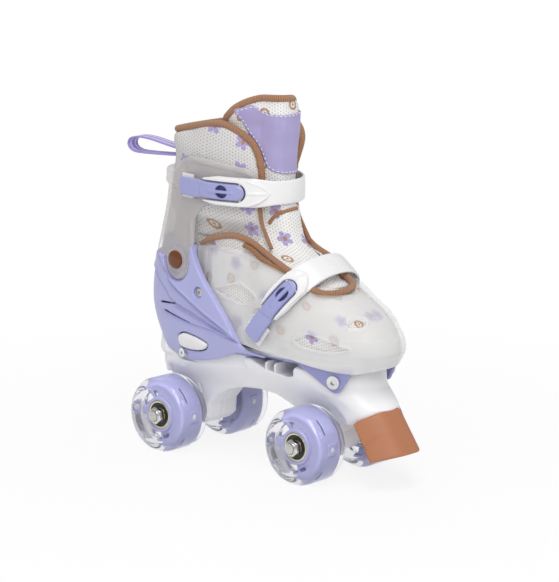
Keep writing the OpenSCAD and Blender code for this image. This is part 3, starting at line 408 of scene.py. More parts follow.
def arc(cx, cy, r, a0, a1, count):
    a = np.radians(np.linspace(a0, a1, count))
    return np.stack([cx + r * np.cos(a), cy + r * np.sin(a)], axis=1)


def joined(parts):
    """Several pairs of points and faces as one."""
    points, faces, start = [], [], 0
    for p, f in parts:
        points.append(p)
        faces.append(f + start)
        start += len(p)
    return np.concatenate(points), np.concatenate(faces)


def mirrored(parts):
    points, faces = parts
    return points * (1, -1, 1), faces[:, ::-1]


# Materials


class Tree:
    """The nodes of a material or a world, with short calls for the usual ones."""

    def __init__(self, owner, out="OutputMaterial", shader="BsdfPrincipled"):
        self.owner = owner
        owner.use_nodes = True
        self.nodes = owner.node_tree.nodes
        self.nodes.clear()
        self.out = self.node(out)
        self.shader = self.node(shader)
        self.show(self.shader.outputs[0])

    def show(self, shader):
        self.link(shader, self.out.inputs["Surface"])

    def link(self, a, b):
        self.owner.node_tree.links.new(a, b)

    def put(self, value, socket):
        if hasattr(value, "is_output"):
            self.link(value, socket)
        else:
            socket.default_value = value

    def node(self, kind, **inputs):
        made = self.nodes.new("ShaderNode" + kind)
        for key, value in inputs.items():
            self.put(value, made.inputs[key])
        return made

    def math(self, operation, a, b=0.0):
        made = self.nodes.new("ShaderNodeMath")
        made.operation = operation
        self.put(a, made.inputs[0])
        self.put(b, made.inputs[1])
        return made.outputs[0]

    def plus(self, a, b):
        return self.math("ADD", a, b)

    def minus(self, a, b):
        return self.math("SUBTRACT", a, b)

    def times(self, a, b):
        return self.math("MULTIPLY", a, b)

    def most(self, a, b):
        return self.math("MAXIMUM", a, b)

    def wave(self, operation, value, pitch):
        return self.math(operation, self.times(value, 2 * math.pi / pitch))

    def vector(self, operation, *inputs):
        made = self.nodes.new("ShaderNodeVectorMath")
        made.operation = operation
        for value, socket in zip(inputs, made.inputs):
            self.link(value, socket)
        return made

    def parts(self, vector):
        return self.node("SeparateXYZ", Vector=vector).outputs

    def mix(self, share, a, b):
        made = self.nodes.new("ShaderNodeMix")
        made.data_type = "RGBA"
        self.put(share, made.inputs[0])
        for value, socket in ((a, made.inputs[6]), (b, made.inputs[7])):
            self.put(value if hasattr(value, "is_output") else (*value, 1), socket)
        return made.outputs[2]

    def span(self, value, a, b, low=0.0, high=1.0):
        made = self.nodes.new("ShaderNodeMapRange")
        for socket, number in zip(made.inputs[1:5], (a, b, low, high)):
            socket.default_value = number
        self.put(value, made.inputs[0])
        return made.outputs[0]

    def place(self):
        return self.node("TexCoord").outputs["Object"]

    def cloth(self):
        made = self.node("Attribute")
        made.attribute_name = "cloth"
        return made.outputs["Vector"]

    def noise(self, vector, scale, detail=3.0, rough=0.5):
        made = self.node("TexNoise", Vector=vector, Scale=scale, Detail=detail, Roughness=rough)
        return made.outputs["Fac"]

    def rays(self, *kinds):
        """1 for rays of the kinds named, 0 for others."""
        path = self.node("LightPath")
        seen = path.outputs[f"Is {kinds[0]} Ray"]
        for kind in kinds[1:]:
            seen = self.most(seen, path.outputs[f"Is {kind} Ray"])
        return seen

    def bump(self, height, strength, distance):
        made = self.node("Bump", Height=height, Strength=strength, Distance=distance)
        self.link(made.outputs["Normal"], self.shader.inputs["Normal"])

    def set(self, **values):
        for key, value in values.items():
            self.put(value, self.shader.inputs[key.replace("_", " ")])


def new_tree(name):
    return Tree(bpy.data.materials.new(name))


def shade(colour, factor):
    return tuple(min(c * factor, 1.0) for c in colour)


def srgb(r, g, b):
    """A colour as the eye's 0 to 255 values."""
    return tuple((c / 255 / 12.92) if c <= 10 else ((c / 255 + 0.055) / 1.055) ** 2.4 for c in (r, g, b))


def plastic(name, colour, rough, spread=0.08, grain=0.06, alpha=1.0):
    """Moulded plastic: faint flow clouds, a fine grain and small changes of gloss."""
    tree = new_tree(name)
    place = tree.place()
    clouds = tree.noise(place, 28.0, 2.0)
    fine = tree.noise(place, 1400.0, 2.0)
    scuff = tree.noise(place, 160.0, 5.0, 0.65)
    tree.set(Base_Color=tree.mix(tree.span(clouds, 0.3, 0.7), shade(colour, 0.97), shade(colour, 1.02)))
    tree.set(Roughness=tree.span(scuff, 0.3, 0.75, rough - spread / 2, rough + spread / 2))
    tree.bump(fine, grain, 0.0002)
    tree.set(Alpha=alpha(tree) if callable(alpha) else alpha)
    return tree.owner


def metal(name, colour, rough):
    """Bright metal with fine streaks and a little tarnish."""
    tree = new_tree(name)
    place = tree.place()
    streak = tree.noise(place, 900.0, 4.0, 0.6)
    tarnish = tree.noise(place, 220.0, 3.0)
    tree.set(Base_Color=tree.mix(tree.span(tarnish, 0.35, 0.7), colour, shade(colour, 0.8)), Metallic=1.0)
    tree.set(Roughness=tree.span(streak, 0.3, 0.7, rough * 0.8, rough * 1.3))
    tree.bump(streak, 0.1, 0.0001)
    return tree.owner


def urethane(name, low, high, rough):
    """Clear cast polyurethane with a slight haze between two tints."""
    tree = new_tree(name)
    place = tree.place()
    haze = tree.noise(place, 60.0, 3.0)
    tree.set(Base_Color=tree.mix(tree.span(haze, 0.3, 0.7), low, high))
    tree.set(Roughness=tree.span(haze, 0.3, 0.7, *rough), Transmission_Weight=1.0, IOR=1.46)
    tree.bump(tree.noise(place, 400.0, 2.0), 0.03, 0.0002)
    return tree.owner


def leather(name, colour):
    tree = new_tree(name)
    place = tree.place()
    cells = tree.node("TexVoronoi", Vector=place, Scale=1400.0).outputs["Distance"]
    wrinkle = tree.noise(place, 90.0, 4.0)
    tree.set(Base_Color=tree.mix(tree.span(wrinkle, 0.3, 0.7), shade(colour, 0.94), shade(colour, 1.04)))
    tree.set(Roughness=tree.span(cells, 0.0, 0.8, 0.5, 0.38))
    tree.bump(tree.plus(cells, wrinkle), 0.25, 0.0003)
    return tree.owner


def honeycomb(tree, u, v, pitch):
    """1 in the holes of a mesh knit, falling to -0.5 on its threads."""
    k = 2 * math.pi / pitch
    half = tree.times(u, k / 2)
    tall = tree.times(v, k * 0.866)
    angles = (tree.times(u, k), tree.plus(half, tall), tree.minus(half, tall))
    a, b, c = [tree.math("COSINE", angle) for angle in angles]
    return tree.times(tree.plus(tree.plus(a, b), c), 1 / 3)


# Sizes of the knit and its print in millimetres, the print's cells per millimetre, and the share with rings
KNIT_PITCH = 2.2
PRINT_CELLS = 0.041
PETAL_IN = 2.4
PETAL_LENGTH = 3.6
HEART_R = (1.9, 1.5)
RING_R = 3.2
DOT_R = (1.2, 0.9)
RING_SHARE = 0.45


def printed(tree, cloth, colour):
    """Adds a scattered print of five-petal flowers and rings."""
    cells = tree.node("TexVoronoi", Vector=cloth, Scale=PRINT_CELLS, Randomness=0.55)
    cells.voronoi_dimensions = "2D"
    u, v, _ = tree.parts(tree.vector("SUBTRACT", cloth, cells.outputs["Position"]).outputs[0])
    distance = tree.math("SQRT", tree.plus(tree.math("POWER", u, 2.0), tree.math("POWER", v, 2.0)))
    kind, turn, _ = tree.node("SeparateColor", Color=cells.outputs["Color"]).outputs
    spin = tree.plus(tree.times(tree.math("ARCTAN2", v, u), 2.5), tree.times(turn, 3.0))
    lobe = tree.math("POWER", tree.math("ABSOLUTE", tree.math("COSINE", spin)), 0.6)
    petals = tree.plus(tree.times(lobe, PETAL_LENGTH), PETAL_IN)
    inside = tree.span(tree.minus(petals, distance), -0.25, 0.25)
    heart = tree.span(distance, *HEART_R)
    ring = tree.span(tree.math("ABSOLUTE", tree.minus(distance, RING_R)), 1.1, 0.8)
    dot = tree.span(distance, *DOT_R)
    is_flower = tree.span(kind, RING_SHARE, RING_SHARE + 0.01)
    is_ring = tree.minus(1.0, is_flower)
    violet = tree.times(inside, is_flower)
    tan = tree.most(tree.times(heart, is_flower), tree.times(tree.most(ring, dot), is_ring))
    grain = tree.span(tree.noise(cloth, 0.9, 2.0), 0.2, 0.6, 0.55, 0.95)
    colour = tree.mix(tree.times(violet, grain), colour, PRINT_VIOLET)
    return tree.mix(tree.times(tan, grain), colour, PRINT_TAN)


def mesh_fabric(name, ground, has_print=True):
    """White mesh knit, plain or with the print, with painted shade in its holes."""
    tree = new_tree(name)
    cloth = tree.cloth()
    u, v, _ = tree.parts(cloth)
    holes = honeycomb(tree, u, v, KNIT_PITCH)
    # The holes are darker than the threads: painted shade in the knit's holes
    colour = tree.mix(tree.span(holes, 0.2, 0.9), ground, shade(ground, 0.6))
    if has_print:
        colour = printed(tree, cloth, colour)
    tree.set(Base_Color=colour, Roughness=0.85, Sheen_Weight=0.15)
    tree.bump(tree.minus(tree.noise(cloth, 3.0, 2.0), holes), 0.5, 0.0004)
    return tree.owner


def ribbed(name, colour, pitch, slant):
    """Corded binding: ribs across its length, with painted shade between them and painted highlight on their
    crests.
    """
    tree = new_tree(name)
    u, v, _ = tree.parts(tree.cloth())
    rib = tree.wave("SINE", tree.plus(u, tree.times(v, slant)), pitch)
    fuzz = tree.noise(tree.place(), 900.0, 3.0)
    # Painted shade in the troughs between the ribs and painted highlight on their crests
    rib_shade_and_highlight = tree.mix(tree.span(rib, -1.0, 0.6), shade(colour, 0.62), shade(colour, 1.05))
    colour = tree.mix(tree.span(fuzz, 0.3, 0.8, 0.0, 0.3), rib_shade_and_highlight, shade(colour, 0.8))
    tree.set(Base_Color=colour, Roughness=0.8, Sheen_Weight=0.2)
    tree.bump(tree.plus(rib, fuzz), 0.7, 0.0005)
    return tree.owner


def ribbon(name):
    """Woven ribbon with a pale stripe along each side of its middle."""
    tree = new_tree(name)
    u, v, _ = tree.parts(tree.cloth())
    across = tree.math("ABSOLUTE", v)
    stripe = tree.times(tree.span(across, 1.5, 1.8), tree.span(across, 3.3, 3.0))
    weave = tree.wave("SINE", u, 0.9)
    colour = tree.mix(stripe, RIBBON_TONE, RIBBON_STRIPE)
    tree.set(Base_Color=tree.mix(tree.span(weave, -1.0, 1.0, 0.0, 0.25), colour, RIBBON_WEFT), Roughness=0.65)
    tree.bump(weave, 0.4, 0.0002)
    return tree.owner


# How milky the frosted walls are; the toe's change over these heights and lengths, in metres
CUFF_ALPHA = 0.46
TOE_ALPHA = 0.27
TOE_RIM_ALPHA = 0.62
TOE_NOSE_ALPHA = 0.46
TOE_RIM_Z = (0.106, 0.094)
TOE_NOSE_X = (0.108, 0.128)


def toe_alpha(tree):
    """The print shows through the toe's sides; its rim and nose are milkier."""
    x, _, z = tree.parts(tree.place())
    rim = tree.span(z, *TOE_RIM_Z, TOE_ALPHA, TOE_RIM_ALPHA)
    nose = tree.span(x, *TOE_NOSE_X, TOE_ALPHA, TOE_NOSE_ALPHA)
    return tree.most(rim, nose)


LAVENDER_TONE = srgb(179, 180, 226)
LEVER_TONE = srgb(163, 166, 214)
# The base plate is a darker copy of the lavender: painted shade of the toe shell's shadow
PLATE_SHADED_TONE = srgb(150, 152, 202)
CORE_TONE = srgb(181, 181, 225)
WHITE_TONE = srgb(242, 241, 242)
CHASSIS_TONE = srgb(246, 246, 248)
FROST_TONE = srgb(250, 250, 250)
# The cuff's frost is a darker, warmer copy of the toe's: painted shade of the boot's dim inside seen through
# it
CUFF_SHADED_TONE = srgb(222, 217, 216)
BROWN_TONE = srgb(190, 138, 102)
BRAID_TONE = srgb(176, 122, 78)
CAP_TONE = srgb(110, 58, 20)
STOP_TONE = srgb(184, 121, 86)
# A dark lavender for a sheet at the bottom of the levers' eyes: painted shade in the holes
EYE_SHADE_TONE = srgb(66, 70, 122)
FABRIC_TONE = srgb(236, 234, 232)
# The collar's knit is a darker copy of the printed mesh: painted shade on the side that faces away from the
# light
COLLAR_SHADED_TONE = srgb(222, 220, 219)
# The tongue's knit is a lighter copy of the printed mesh: painted light on its lit side
TONGUE_LIT_TONE = srgb(246, 245, 243)
LINING_TONE = srgb(226, 222, 219)
FOOTBED_TONE = srgb(186, 176, 170)
PRINT_VIOLET = srgb(166, 150, 208)
PRINT_TAN = srgb(178, 128, 84)
PATCH_TONE = srgb(174, 165, 210)
THREAD_TONE = srgb(232, 226, 244)
RIBBON_TONE = srgb(172, 156, 222)
RIBBON_STRIPE = srgb(236, 232, 246)
RIBBON_WEFT = srgb(150, 132, 204)

lavender = plastic("lavender_shell", LAVENDER_TONE, 0.36)
plate_painted_shade = plastic("lavender_plate_painted_shade", PLATE_SHADED_TONE, 0.36)
lever_plastic = plastic("lavender_lever", LEVER_TONE, 0.3)
core_plastic = plastic("lavender_core", CORE_TONE, 0.32)
white_gloss = plastic("white_strap", WHITE_TONE, 0.3)
chassis_white = plastic("white_frame", CHASSIS_TONE, 0.38)
frost = plastic("frosted_shell", FROST_TONE, 0.38, 0.1, alpha=toe_alpha)
cuff_frost_painted_shade = plastic("frosted_cuff_painted_shade", CUFF_SHADED_TONE, 0.38, 0.1, alpha=CUFF_ALPHA)
cap_brown = plastic("brown_cap", CAP_TONE, 0.22)
stop_rubber = plastic("brown_rubber", STOP_TONE, 0.55, 0.12, 0.25)
lever_eye_shade = plastic("lever_eye_painted_shade", EYE_SHADE_TONE, 0.4)
black_shield = plastic("black_shield", (0.012, 0.012, 0.013), 0.35)
light_box = plastic("light_box", (0.8, 0.8, 0.86), 0.15, 0.05)
thread = plastic("stitch_thread", THREAD_TONE, 0.7)
steel = metal("bright_steel", (0.62, 0.6, 0.55), 0.3)
chrome = metal("plated_nut", (0.78, 0.78, 0.77), 0.18)
ring_steel = metal("bearing_ring", (0.72, 0.68, 0.5), 0.2)
clear_tyre = urethane("clear_urethane", (0.89, 0.89, 0.92), (0.94, 0.94, 0.96), (0.03, 0.1))
patch_leather = leather("lavender_leather", PATCH_TONE)
print_mesh = mesh_fabric("printed_mesh", FABRIC_TONE)
collar_mesh_painted_shade = mesh_fabric("collar_mesh_painted_shade", COLLAR_SHADED_TONE)
tongue_mesh_painted_light = mesh_fabric("tongue_mesh_painted_light", TONGUE_LIT_TONE)
plain_mesh = mesh_fabric("plain_mesh", LINING_TONE, False)
foot_mesh = mesh_fabric("footbed_mesh", FOOTBED_TONE, False)
binding = ribbed("corded_binding", BROWN_TONE, 1.3, 0.3)
braid = ribbed("braided_piping", BRAID_TONE, 1.9, 0.9)
striped_ribbon = ribbon("striped_ribbon")

# Solids that are carried over as they are
CARRIED = {
    "steel": steel, "chrome": chrome, "strap_white": white_gloss, "lavender": lavender, "frost": frost,
    "chassis_white": chassis_white, "lever_lavender": lever_plastic, "core_lavender": core_plastic,
    "stop_rubber": stop_rubber, "cap_brown": cap_brown, "fabric": white_gloss, "footbed": stop_rubber,
    "ribbon": lavender, "tyre_clear": frost, "light_box": white_gloss,
}
for part in frame["record"]["subparts"]:
    carried = frame["nodes"][part["node"]]
    carried.data.materials.clear()
    carried.data.materials.append(CARRIED[part["material_slot"]])
for bolts in ("frame_bolts_front", "frame_bolts_rear"):
    frame["nodes"][bolts].data.materials[0] = chrome

# Heel shell

HEEL_OUTLINE = np.concatenate([
    spline([(-43, 163), (-42, 160), (-37, 149.5), (-27, 137), (-14.5, 125.5), (-2, 113), (6, 103),
            (10.5, 96.5)]),
    spline([(16, 93.2), (28, 91.6), (34, 90.8), (34, 89.8), (20, 90), (6, 89), (-4, 85), (-14, 81),
            (-30, 76.4), (-46, 73.4), (-57, 73.4), (-65, 75.4), (-75, 79.6), (-85, 84), (-92, 87.2),
            (-100, 90), (-112, 92)]),
    [(-114, 163)],
])
BUTTON_OUTLINE = spline([
    (-58.5, 87), (-57, 92), (-50, 95), (-38, 94.3), (-27, 92), (-24.3, 89.8), (-28, 86.3), (-35, 84),
    (-47, 82.7), (-56, 83.6)], 6, True)
ARM_LINE = [(-112, 152), (-92, 150.5), (-82, 147), (-77, 142), (-73, 138), (-66, 132), (-48, 124), (-27, 115),
            (-7, 107), (6, 101), (16, 96)]
BAND_LINE = [(-112, 140), (-92, 135.5), (-76, 127), (-63, 118.5), (-37, 112.5), (-17, 106.5), (-5, 102.8),
             (10, 97)]
GULLY_LINE = [(-112, 112.5), (-81, 112.8), (-58, 112.5), (-37, 108), (-17, 103.8), (-5, 101.6), (10, 96.6)]
SCOOP_TOP = [(-112, 110), (-76, 108.4), (-44, 104.4), (-17, 102.6), (7, 98.2), (12, 96.4)]
SCOOP_LOW = [(-112, 98), (-78, 98.6), (-55, 100), (-31, 100.3), (-7, 99), (7, 97.4), (12, 96)]
SLITS = [
    [(-82, 113), (-80, 114.8), (-62, 116.4), (-61.6, 115.4)],
    [(-77.5, 107.4), (-76, 109.4), (-44, 104.7), (-44.3, 104)],
]
SCREW = (-33.3, 129.0)
REAR_BOLT = (-54.2, 78.5)
# Relief: how far arm and band stand out, the beads on their edges, and the depth of gully and scoop
ARM_RISE = 1.4
ARM_BEAD = 0.9
BAND_RISE = 0.7
BAND_BEAD = 0.6
GULLY_DEPTH = 1.5
SCOOP_DEPTH = 1.9
# What the cuff covers: a disc round the pivot, and all above a height behind its front edge
COVER_R = 16.4
COVER_Z = 150.6
COVER_X = -45.0
HEEL_FLARE = 5.0
BUTTON_GAP = 0.9
# Room that the button needs behind the shell, in X and Z and inwards to a place in Y
BUTTON_WELL_X = (-60, -22)
BUTTON_WELL_Y = -21.4


def height_over(space, line):
    line = np.asarray(line, float)
    return space.z - smooth_at(line[:, 0], line[:, 1], space.x).astype(np.float32)


def under_cuff(space):
    """Distance to the part of the heel that the cuff covers."""
    return np.minimum(space.ring(*PIVOT) - COVER_R, np.maximum(COVER_Z - space.z, space.x - COVER_X))


def heel_relief(space):
    """How far the moulded forms stand out."""
    arm, band, gully, scoop_top, scoop_low = [
        height_over(space, line) for line in (ARM_LINE, BAND_LINE, GULLY_LINE, SCOOP_TOP, SCOOP_LOW)]
    rise = ARM_RISE * soft(arm, 0.6) + BAND_RISE * soft(band, 0.7)
    for line, depth in ((arm, ARM_BEAD), (band, BAND_BEAD)):
        rise = rise + depth * (bead(line - 1.4, 1.1) - bead(line + 1.1, 1.0))
    rise = rise - GULLY_DEPTH * soft(-band, 0.6) * soft(gully, 0.6) * ease(-66, -58, space.x)
    ramp = np.clip(scoop_low / np.maximum(scoop_low - scoop_top, 0.4), 0, 1)
    return rise - SCOOP_DEPTH * soft(-scoop_top, 0.5) * ramp * ease(-84, -74, space.x) * ease(12, 2, space.x)


def heel_flare(space):
    """How far the lower edge of the heel and the frame under it stand out at the back."""
    return HEEL_FLARE * ease(88, 73, space.z) * ease(-62, -84, space.x)


def button_well(space, low, high):
    a, b = BUTTON_WELL_X
    return np.maximum(space.side([(a, low), (a, high), (b, high), (b, low)]), space.y - BUTTON_WELL_Y)


def build_heel_shell():
    space = Space((-108, -46, 70), (36, 46, 165), 0.7)
    depth = space.boot()
    cover = under_cuff(space)
    sunk = INNER_SHELL * soft(-cover, 0.5)
    sunk_inside = INNER_SHELL * soft(SHELL_T - cover, 0.8)
    outer = depth + sunk - heel_relief(space) * ease(0.5, -0.5, -cover) - heel_flare(space)
    inner = -(depth + SHELL_T + 0.8 + sunk_inside)
    body = round_max(round_max(outer, space.side(HEEL_OUTLINE), 1.6), inner, 0.4)
    button = space.side(BUTTON_OUTLINE) - BUTTON_GAP
    body = carve(body, np.where(space.y < 0, button, 9), 1.2)
    for slit in SLITS:
        body = carve(body, space.side(slit), 0.5)
    screw = space.ring(*SCREW)
    body = carve(body, np.minimum(screw - 3.5, np.maximum(screw - 4.6, -(depth + 0.9))), 0.5)
    body = carve(body, np.maximum(space.ring(*REAR_BOLT) - 4.4, -(depth + 0.4)), 0.5)
    body = np.maximum(body, 3.2 - space.ring(*PIVOT))
    dress(solid("heel_cup", space, body), lavender, "chassis", "lavender", "heel_shell")


def build_button():
    space = Space((-62, -44, 80), (-21, -26, 98), 0.5)
    depth = space.boot()
    side = space.side(BUTTON_OUTLINE)
    crown = 1.9 - 0.9 * np.clip((side + 5) / 5, 0, 1) ** 2
    body = round_max(round_max(depth - crown, side, 1.6), -(depth + 9), 0.5)
    dress(solid("size_button_cap", space, body), white_gloss, "size_button", "strap_white", "size_button")


build_heel_shell()
build_button()

# Toe shell

TOE_OUTLINE = np.concatenate([
    spline([(-44, 101), (-20, 97.5), (10, 95.6), (40, 93.8), (63, 92), (86, 88.4), (107, 86.2), (124, 88.4),
            (134, 90)]),
    spline([(134, 138.6), (110, 138.4), (91, 139.2), (80, 142), (67, 146.6), (55, 150.8), (43, 154.2),
            (34, 157.4), (22, 160.6), (12, 163), (-1, 165.4), (-17, 166), (-33, 165), (-44, 163)]),
])
REAR_WINDOW = spline([(-17, 132.4), (-13, 135.4), (3, 140), (8, 139.2), (22, 134.4), (20, 131.6), (9, 127.2),
                      (3, 127.6)], 5, True)
FRONT_WINDOW = spline([(65, 107.4), (68, 110), (75, 113.6), (82, 112.6), (104, 106.6), (106, 105.4),
                       (90, 103), (72, 104.6)], 5, True)
TOP_WINDOW = np.array([
    (106.8 + 4.4 * math.cos(a) + 1.6 * math.sin(a), -19.6 + 5.2 * math.cos(a) - 1.8 * math.sin(a))
    for a in np.radians(np.arange(0, 360, 12))])
# The top windows start above this height
TOP_WINDOW_Z = 112.0
WINDOW_RIM = 0.7
BUMPER_RISE = 0.6
TOE_LIP = 0.5
TOP_LIP = 0.8
NOSE_TUCK = 7.0


def tuck(x):
    """How far the toe's layers step in where they run inside the heel shell."""
    return INNER_SHELL * (2 - ease(10, 32, x) - ease(-32.5, -26.5, x))


def build_toe_shell():
    space = Space((-46, -45, 84), (130, 45, 168), 0.8)
    depth = space.boot() + tuck(space.x)
    side = space.side(TOE_OUTLINE)
    windows = np.minimum(space.side(REAR_WINDOW), space.side(FRONT_WINDOW))
    upper = np.minimum(space.plan(TOP_WINDOW), space.plan(TOP_WINDOW * (1, -1)))
    openings = np.minimum(windows, np.maximum(upper, TOP_WINDOW_Z - space.z))
    rim = WINDOW_RIM * bead(openings - 1.4, 1.1)
    bumper = BUMPER_RISE * soft(space.z - 99, 2.0) * soft(112.5 - space.z, 1.4) * ease(84, 112, space.x)
    lip = TOE_LIP * bead(space.z - 91, 2.2) * ease(50, 80, space.x) * ease(104, 92, space.x)
    top_lip = TOP_LIP * bead(side + 1.6, 1.2) * soft(space.z - 130, 3)
    tuck_under = NOSE_TUCK * np.clip((102 - space.z) / 16, 0, 1) ** 2 * ease(109, 121, space.x)
    outer = depth - rim - bumper - lip - top_lip + tuck_under
    body = round_max(round_max(outer, side, 2.4), -(depth + SHELL_T + tuck_under), 0.4)
    dress(solid("toe_cap", space, carve(body, openings, 0.8)), frost, "toe", "frost", "toe_shell")


build_toe_shell()

# Cuff

EAR_R = 15.5
CUFF_OUTLINE = np.concatenate([
    [(-112, 149.6), (-78, 149.6)], arc(*PIVOT, EAR_R, 184, 352, 30),
    spline([(-43.6, 156), (-43, 166), (-42.6, 180), (-41, 186), (-36, 192), (-28, 197), (-14, 200), (2, 202),
            (9, 206), (11.5, 213), (10, 221), (5, 226.2), (-14, 229.6), (-36, 231.6), (-47, 231),
            (-56, 227.4), (-61, 223), (-67, 219.4), (-80, 217.4), (-112, 216.6)]),
])
CUFF_PANEL = np.concatenate([
    spline([(-51, 205), (-51.3, 216.6), (-49.4, 222), (-43.5, 225.9), (-36.7, 226.6), (-9.5, 224.6),
            (12, 220)]),
    [(14, 200), (-45, 200)]])
CUFF_STRAP_Z = 209.0
# The strap's rivet goes through the cuff on the inner side
CUFF_RIVET_X = -36.5
FRONT_RIM = 0.8
TOP_RIM = 0.7
EAR_RIM = 0.6
EAR_GROOVE = 0.7
PANEL_DEPTH = 0.9
REAR_FLANGE = 2.6
BOSS_R = 9.0
BOSS_RISE = 1.6


def build_cuff():
    space = Space((-100, -40, 131), (16, 40, 236), 0.8)
    depth = space.boot()
    side = space.side(CUFF_OUTLINE)
    edge = bead(side + 2.4, 1.8)
    front_rim = FRONT_RIM * edge * ease(-52, -46, space.x) * ease(190, 180, space.z)
    top_rim = TOP_RIM * edge * ease(212, 218, space.z)
    ring = space.ring(*PIVOT)
    ear = EAR_RIM * bead(ring - 13.6, 1.2) * ease(152, 146, space.z)
    groove = EAR_GROOVE * bead(ring - 11, 0.8) * ease(160, 154, space.z)
    panel = PANEL_DEPTH * soft(-space.side(CUFF_PANEL), 0.8)
    flange = REAR_FLANGE * ease(203, 208, space.z) * ease(-52, -66, space.x)
    outer = depth - front_rim - top_rim - ear + groove + panel - flange
    inner = -(depth + SHELL_T)
    body = round_max(round_max(outer, side, 1.4), inner, 0.5)
    boss_y = side_y(np.float32(PIVOT[0]), np.float32(PIVOT[1])) + BOSS_RISE
    body = round_min(body, np.maximum(np.maximum(ring - BOSS_R, space.aside - boss_y), inner), 1.0)
    body = np.maximum(body, 3.06 - ring)
    body = np.maximum(body, np.where(space.y > 0, 2.2 - space.ring(CUFF_RIVET_X, CUFF_STRAP_Z), -9))
    # Its darker frost is painted shade
    dress(solid("ankle_cuff", space, body), cuff_frost_painted_shade, "cuff", "frost", "cuff")


build_cuff()

# Chassis

REAR_TURNS = np.linspace(96, 264, 29)
FRONT_PLAN = [(10, -37.5), (60, -37.5), (110, -22.5), (127, -14), (127, 14), (110, 22.5), (60, 37.5),
              (10, 37.5)]
FRAME_SIDE = [
    (-87, 87), (-90, 70), (-90, 62), (-86, 54), (-86, 29), (-80, 18.5), (-53, 18.5), (-46, 24.5), (-45, 36),
    (-38, 44.5), (-24, 51.5), (-9, 55.5), (10, 57.5), (26, 56), (42, 49), (58, 38), (60, 25), (65, 18.5),
    (75, 18.5), (80, 24), (82, 35), (87, 42), (97, 47.5), (107, 49.5), (123, 59), (116, 66), (111, 72),
    (107, 85), (104, 87),
]
NOSE_SIDE = [(86, 62), (98, 46), (107, 49.5), (123, 59), (116, 66), (111, 72), (107, 85), (86, 85)]
FLARE = np.concatenate([
    [(-1, 17.5), (17, 17.5)],
    spline([(17, 50), (18.5, 55.5), (23, 62.5), (29, 69.5), (34, 77), (37.5, 83), (39.5, 88)]), [(-1, 88)]])
SLOT_SIDE = [(11, 89), (31, 79.5), (52, 77), (58, 79), (61, 89)]
SLOT_RIBS_X = (31, 40)
UPSTAND_SIDE = [(-112, 58), (-79, 58), (-79, 84), (-82, 87.4), (-88, 91.6), (-98, 94.4), (-112, 95)]
REAR_SIDE = [(-112, 62), (-62, 66), (-62, 73), (-72, 77.6), (-84, 83), (-92, 86.8), (-112, 90)]
SEAT_Z = 71.4
NOSE_HALF = 22.0
# The wheels' housings: radius and half length of the barrel and of the collar at its ends
BARREL = (10.5, 18.5)
COLLAR = (6.5, 22.6)
AXLE_R = 4.0
# Middle and half height of the slit in the rear post
SLIT = (-53, 49, 3)


def frame_plan(cover):
    return np.concatenate([boot_point(REAR_TURNS, SKIRT_Z, -cover)[:, :2], FRONT_PLAN])


def build_chassis():
    space = Space((-106, -45, 16), (129, 45, 97), 0.9)
    depth = space.boot()
    body = round_max(space.plan(frame_plan(-1)), space.side(FRAME_SIDE), 4.0)
    body = round_max(body, space.end(FLARE), 4.0)
    body = carve(body, np.maximum(SEAT_Z - space.z, -space.plan(frame_plan(3.3))), 0.5)
    nose = round_max(space.side(NOSE_SIDE), space.aside - NOSE_HALF, 6.0)
    body = round_min(body, round_max(nose, space.plan(frame_plan(0)), 5.0), 6.0)
    corner = (0.98 * space.x + 0.896 * space.aside - 118.5 - 14 * ease(76, 55, space.z)) / 1.33
    body = round_max(body, corner, 8.0)
    outer = depth + 0.6 - heel_flare(space)
    inner = -(depth + 9.6)
    upstand = round_max(np.maximum(outer, inner), space.side(UPSTAND_SIDE), 1.5)
    body = round_min(body, upstand, 3.0)
    bulge = round_max(round_max(outer, space.side(REAR_SIDE), 4.0), inner, 1.0)
    body = round_min(body, bulge, 4.0)
    for x in (WHEEL_X, -WHEEL_X):
        ring = space.ring(x, AXLE_Z)
        body = round_min(body, round_max(ring - BARREL[0], space.aside - BARREL[1], 1.5), 2.5)
        body = round_min(body, round_max(ring - COLLAR[0], space.aside - COLLAR[1], 0.8), 1.0)
        body = np.maximum(body, AXLE_R - ring)
    ribs = np.minimum.reduce([np.abs(space.x - 0.25 * (space.z - 80) - x) - 0.9 for x in SLOT_RIBS_X])
    pocket = np.maximum(round_max(space.side(SLOT_SIDE), 11 - space.aside, 2.0), -ribs)
    body = carve(body, pocket, 0.8)
    x, z, reach = SLIT
    lean = 0.45 * np.clip(z - space.z, -reach, reach)
    slit = np.hypot(space.x - x - lean, np.maximum(np.abs(space.z - z) - reach, 0)) - 0.8
    body = carve(body, np.maximum(slit, 15.5 - space.aside), 0.4)
    body = np.maximum(body, -button_well(space, 81, 100))
    dress(solid("frame_moulding", space, body), chassis_white, "chassis", "chassis_white", "chassis")


build_chassis()

# Base plate

PLATE_Z = 89.0
PLATE_HALF_T = 2.0
PLATE_FRONT = 98.0
# A bracket leans in from its hinge line, in X and |Y|
BRACKET_LEAN = math.atan2(15, 50)
BRACKET_X = 60
BRACKET_Y = 37.9
BRACKET_T = 3.2
BRACKET = spline([(-6, 91), (-2, 92.6), (4, 91), (29, 74.6), (33.4, 71.7), (37, 71.2), (40, 73.2), (46, 82.6),
                  (49, 88), (48, 90.4), (20, 91.6)], 4, True)


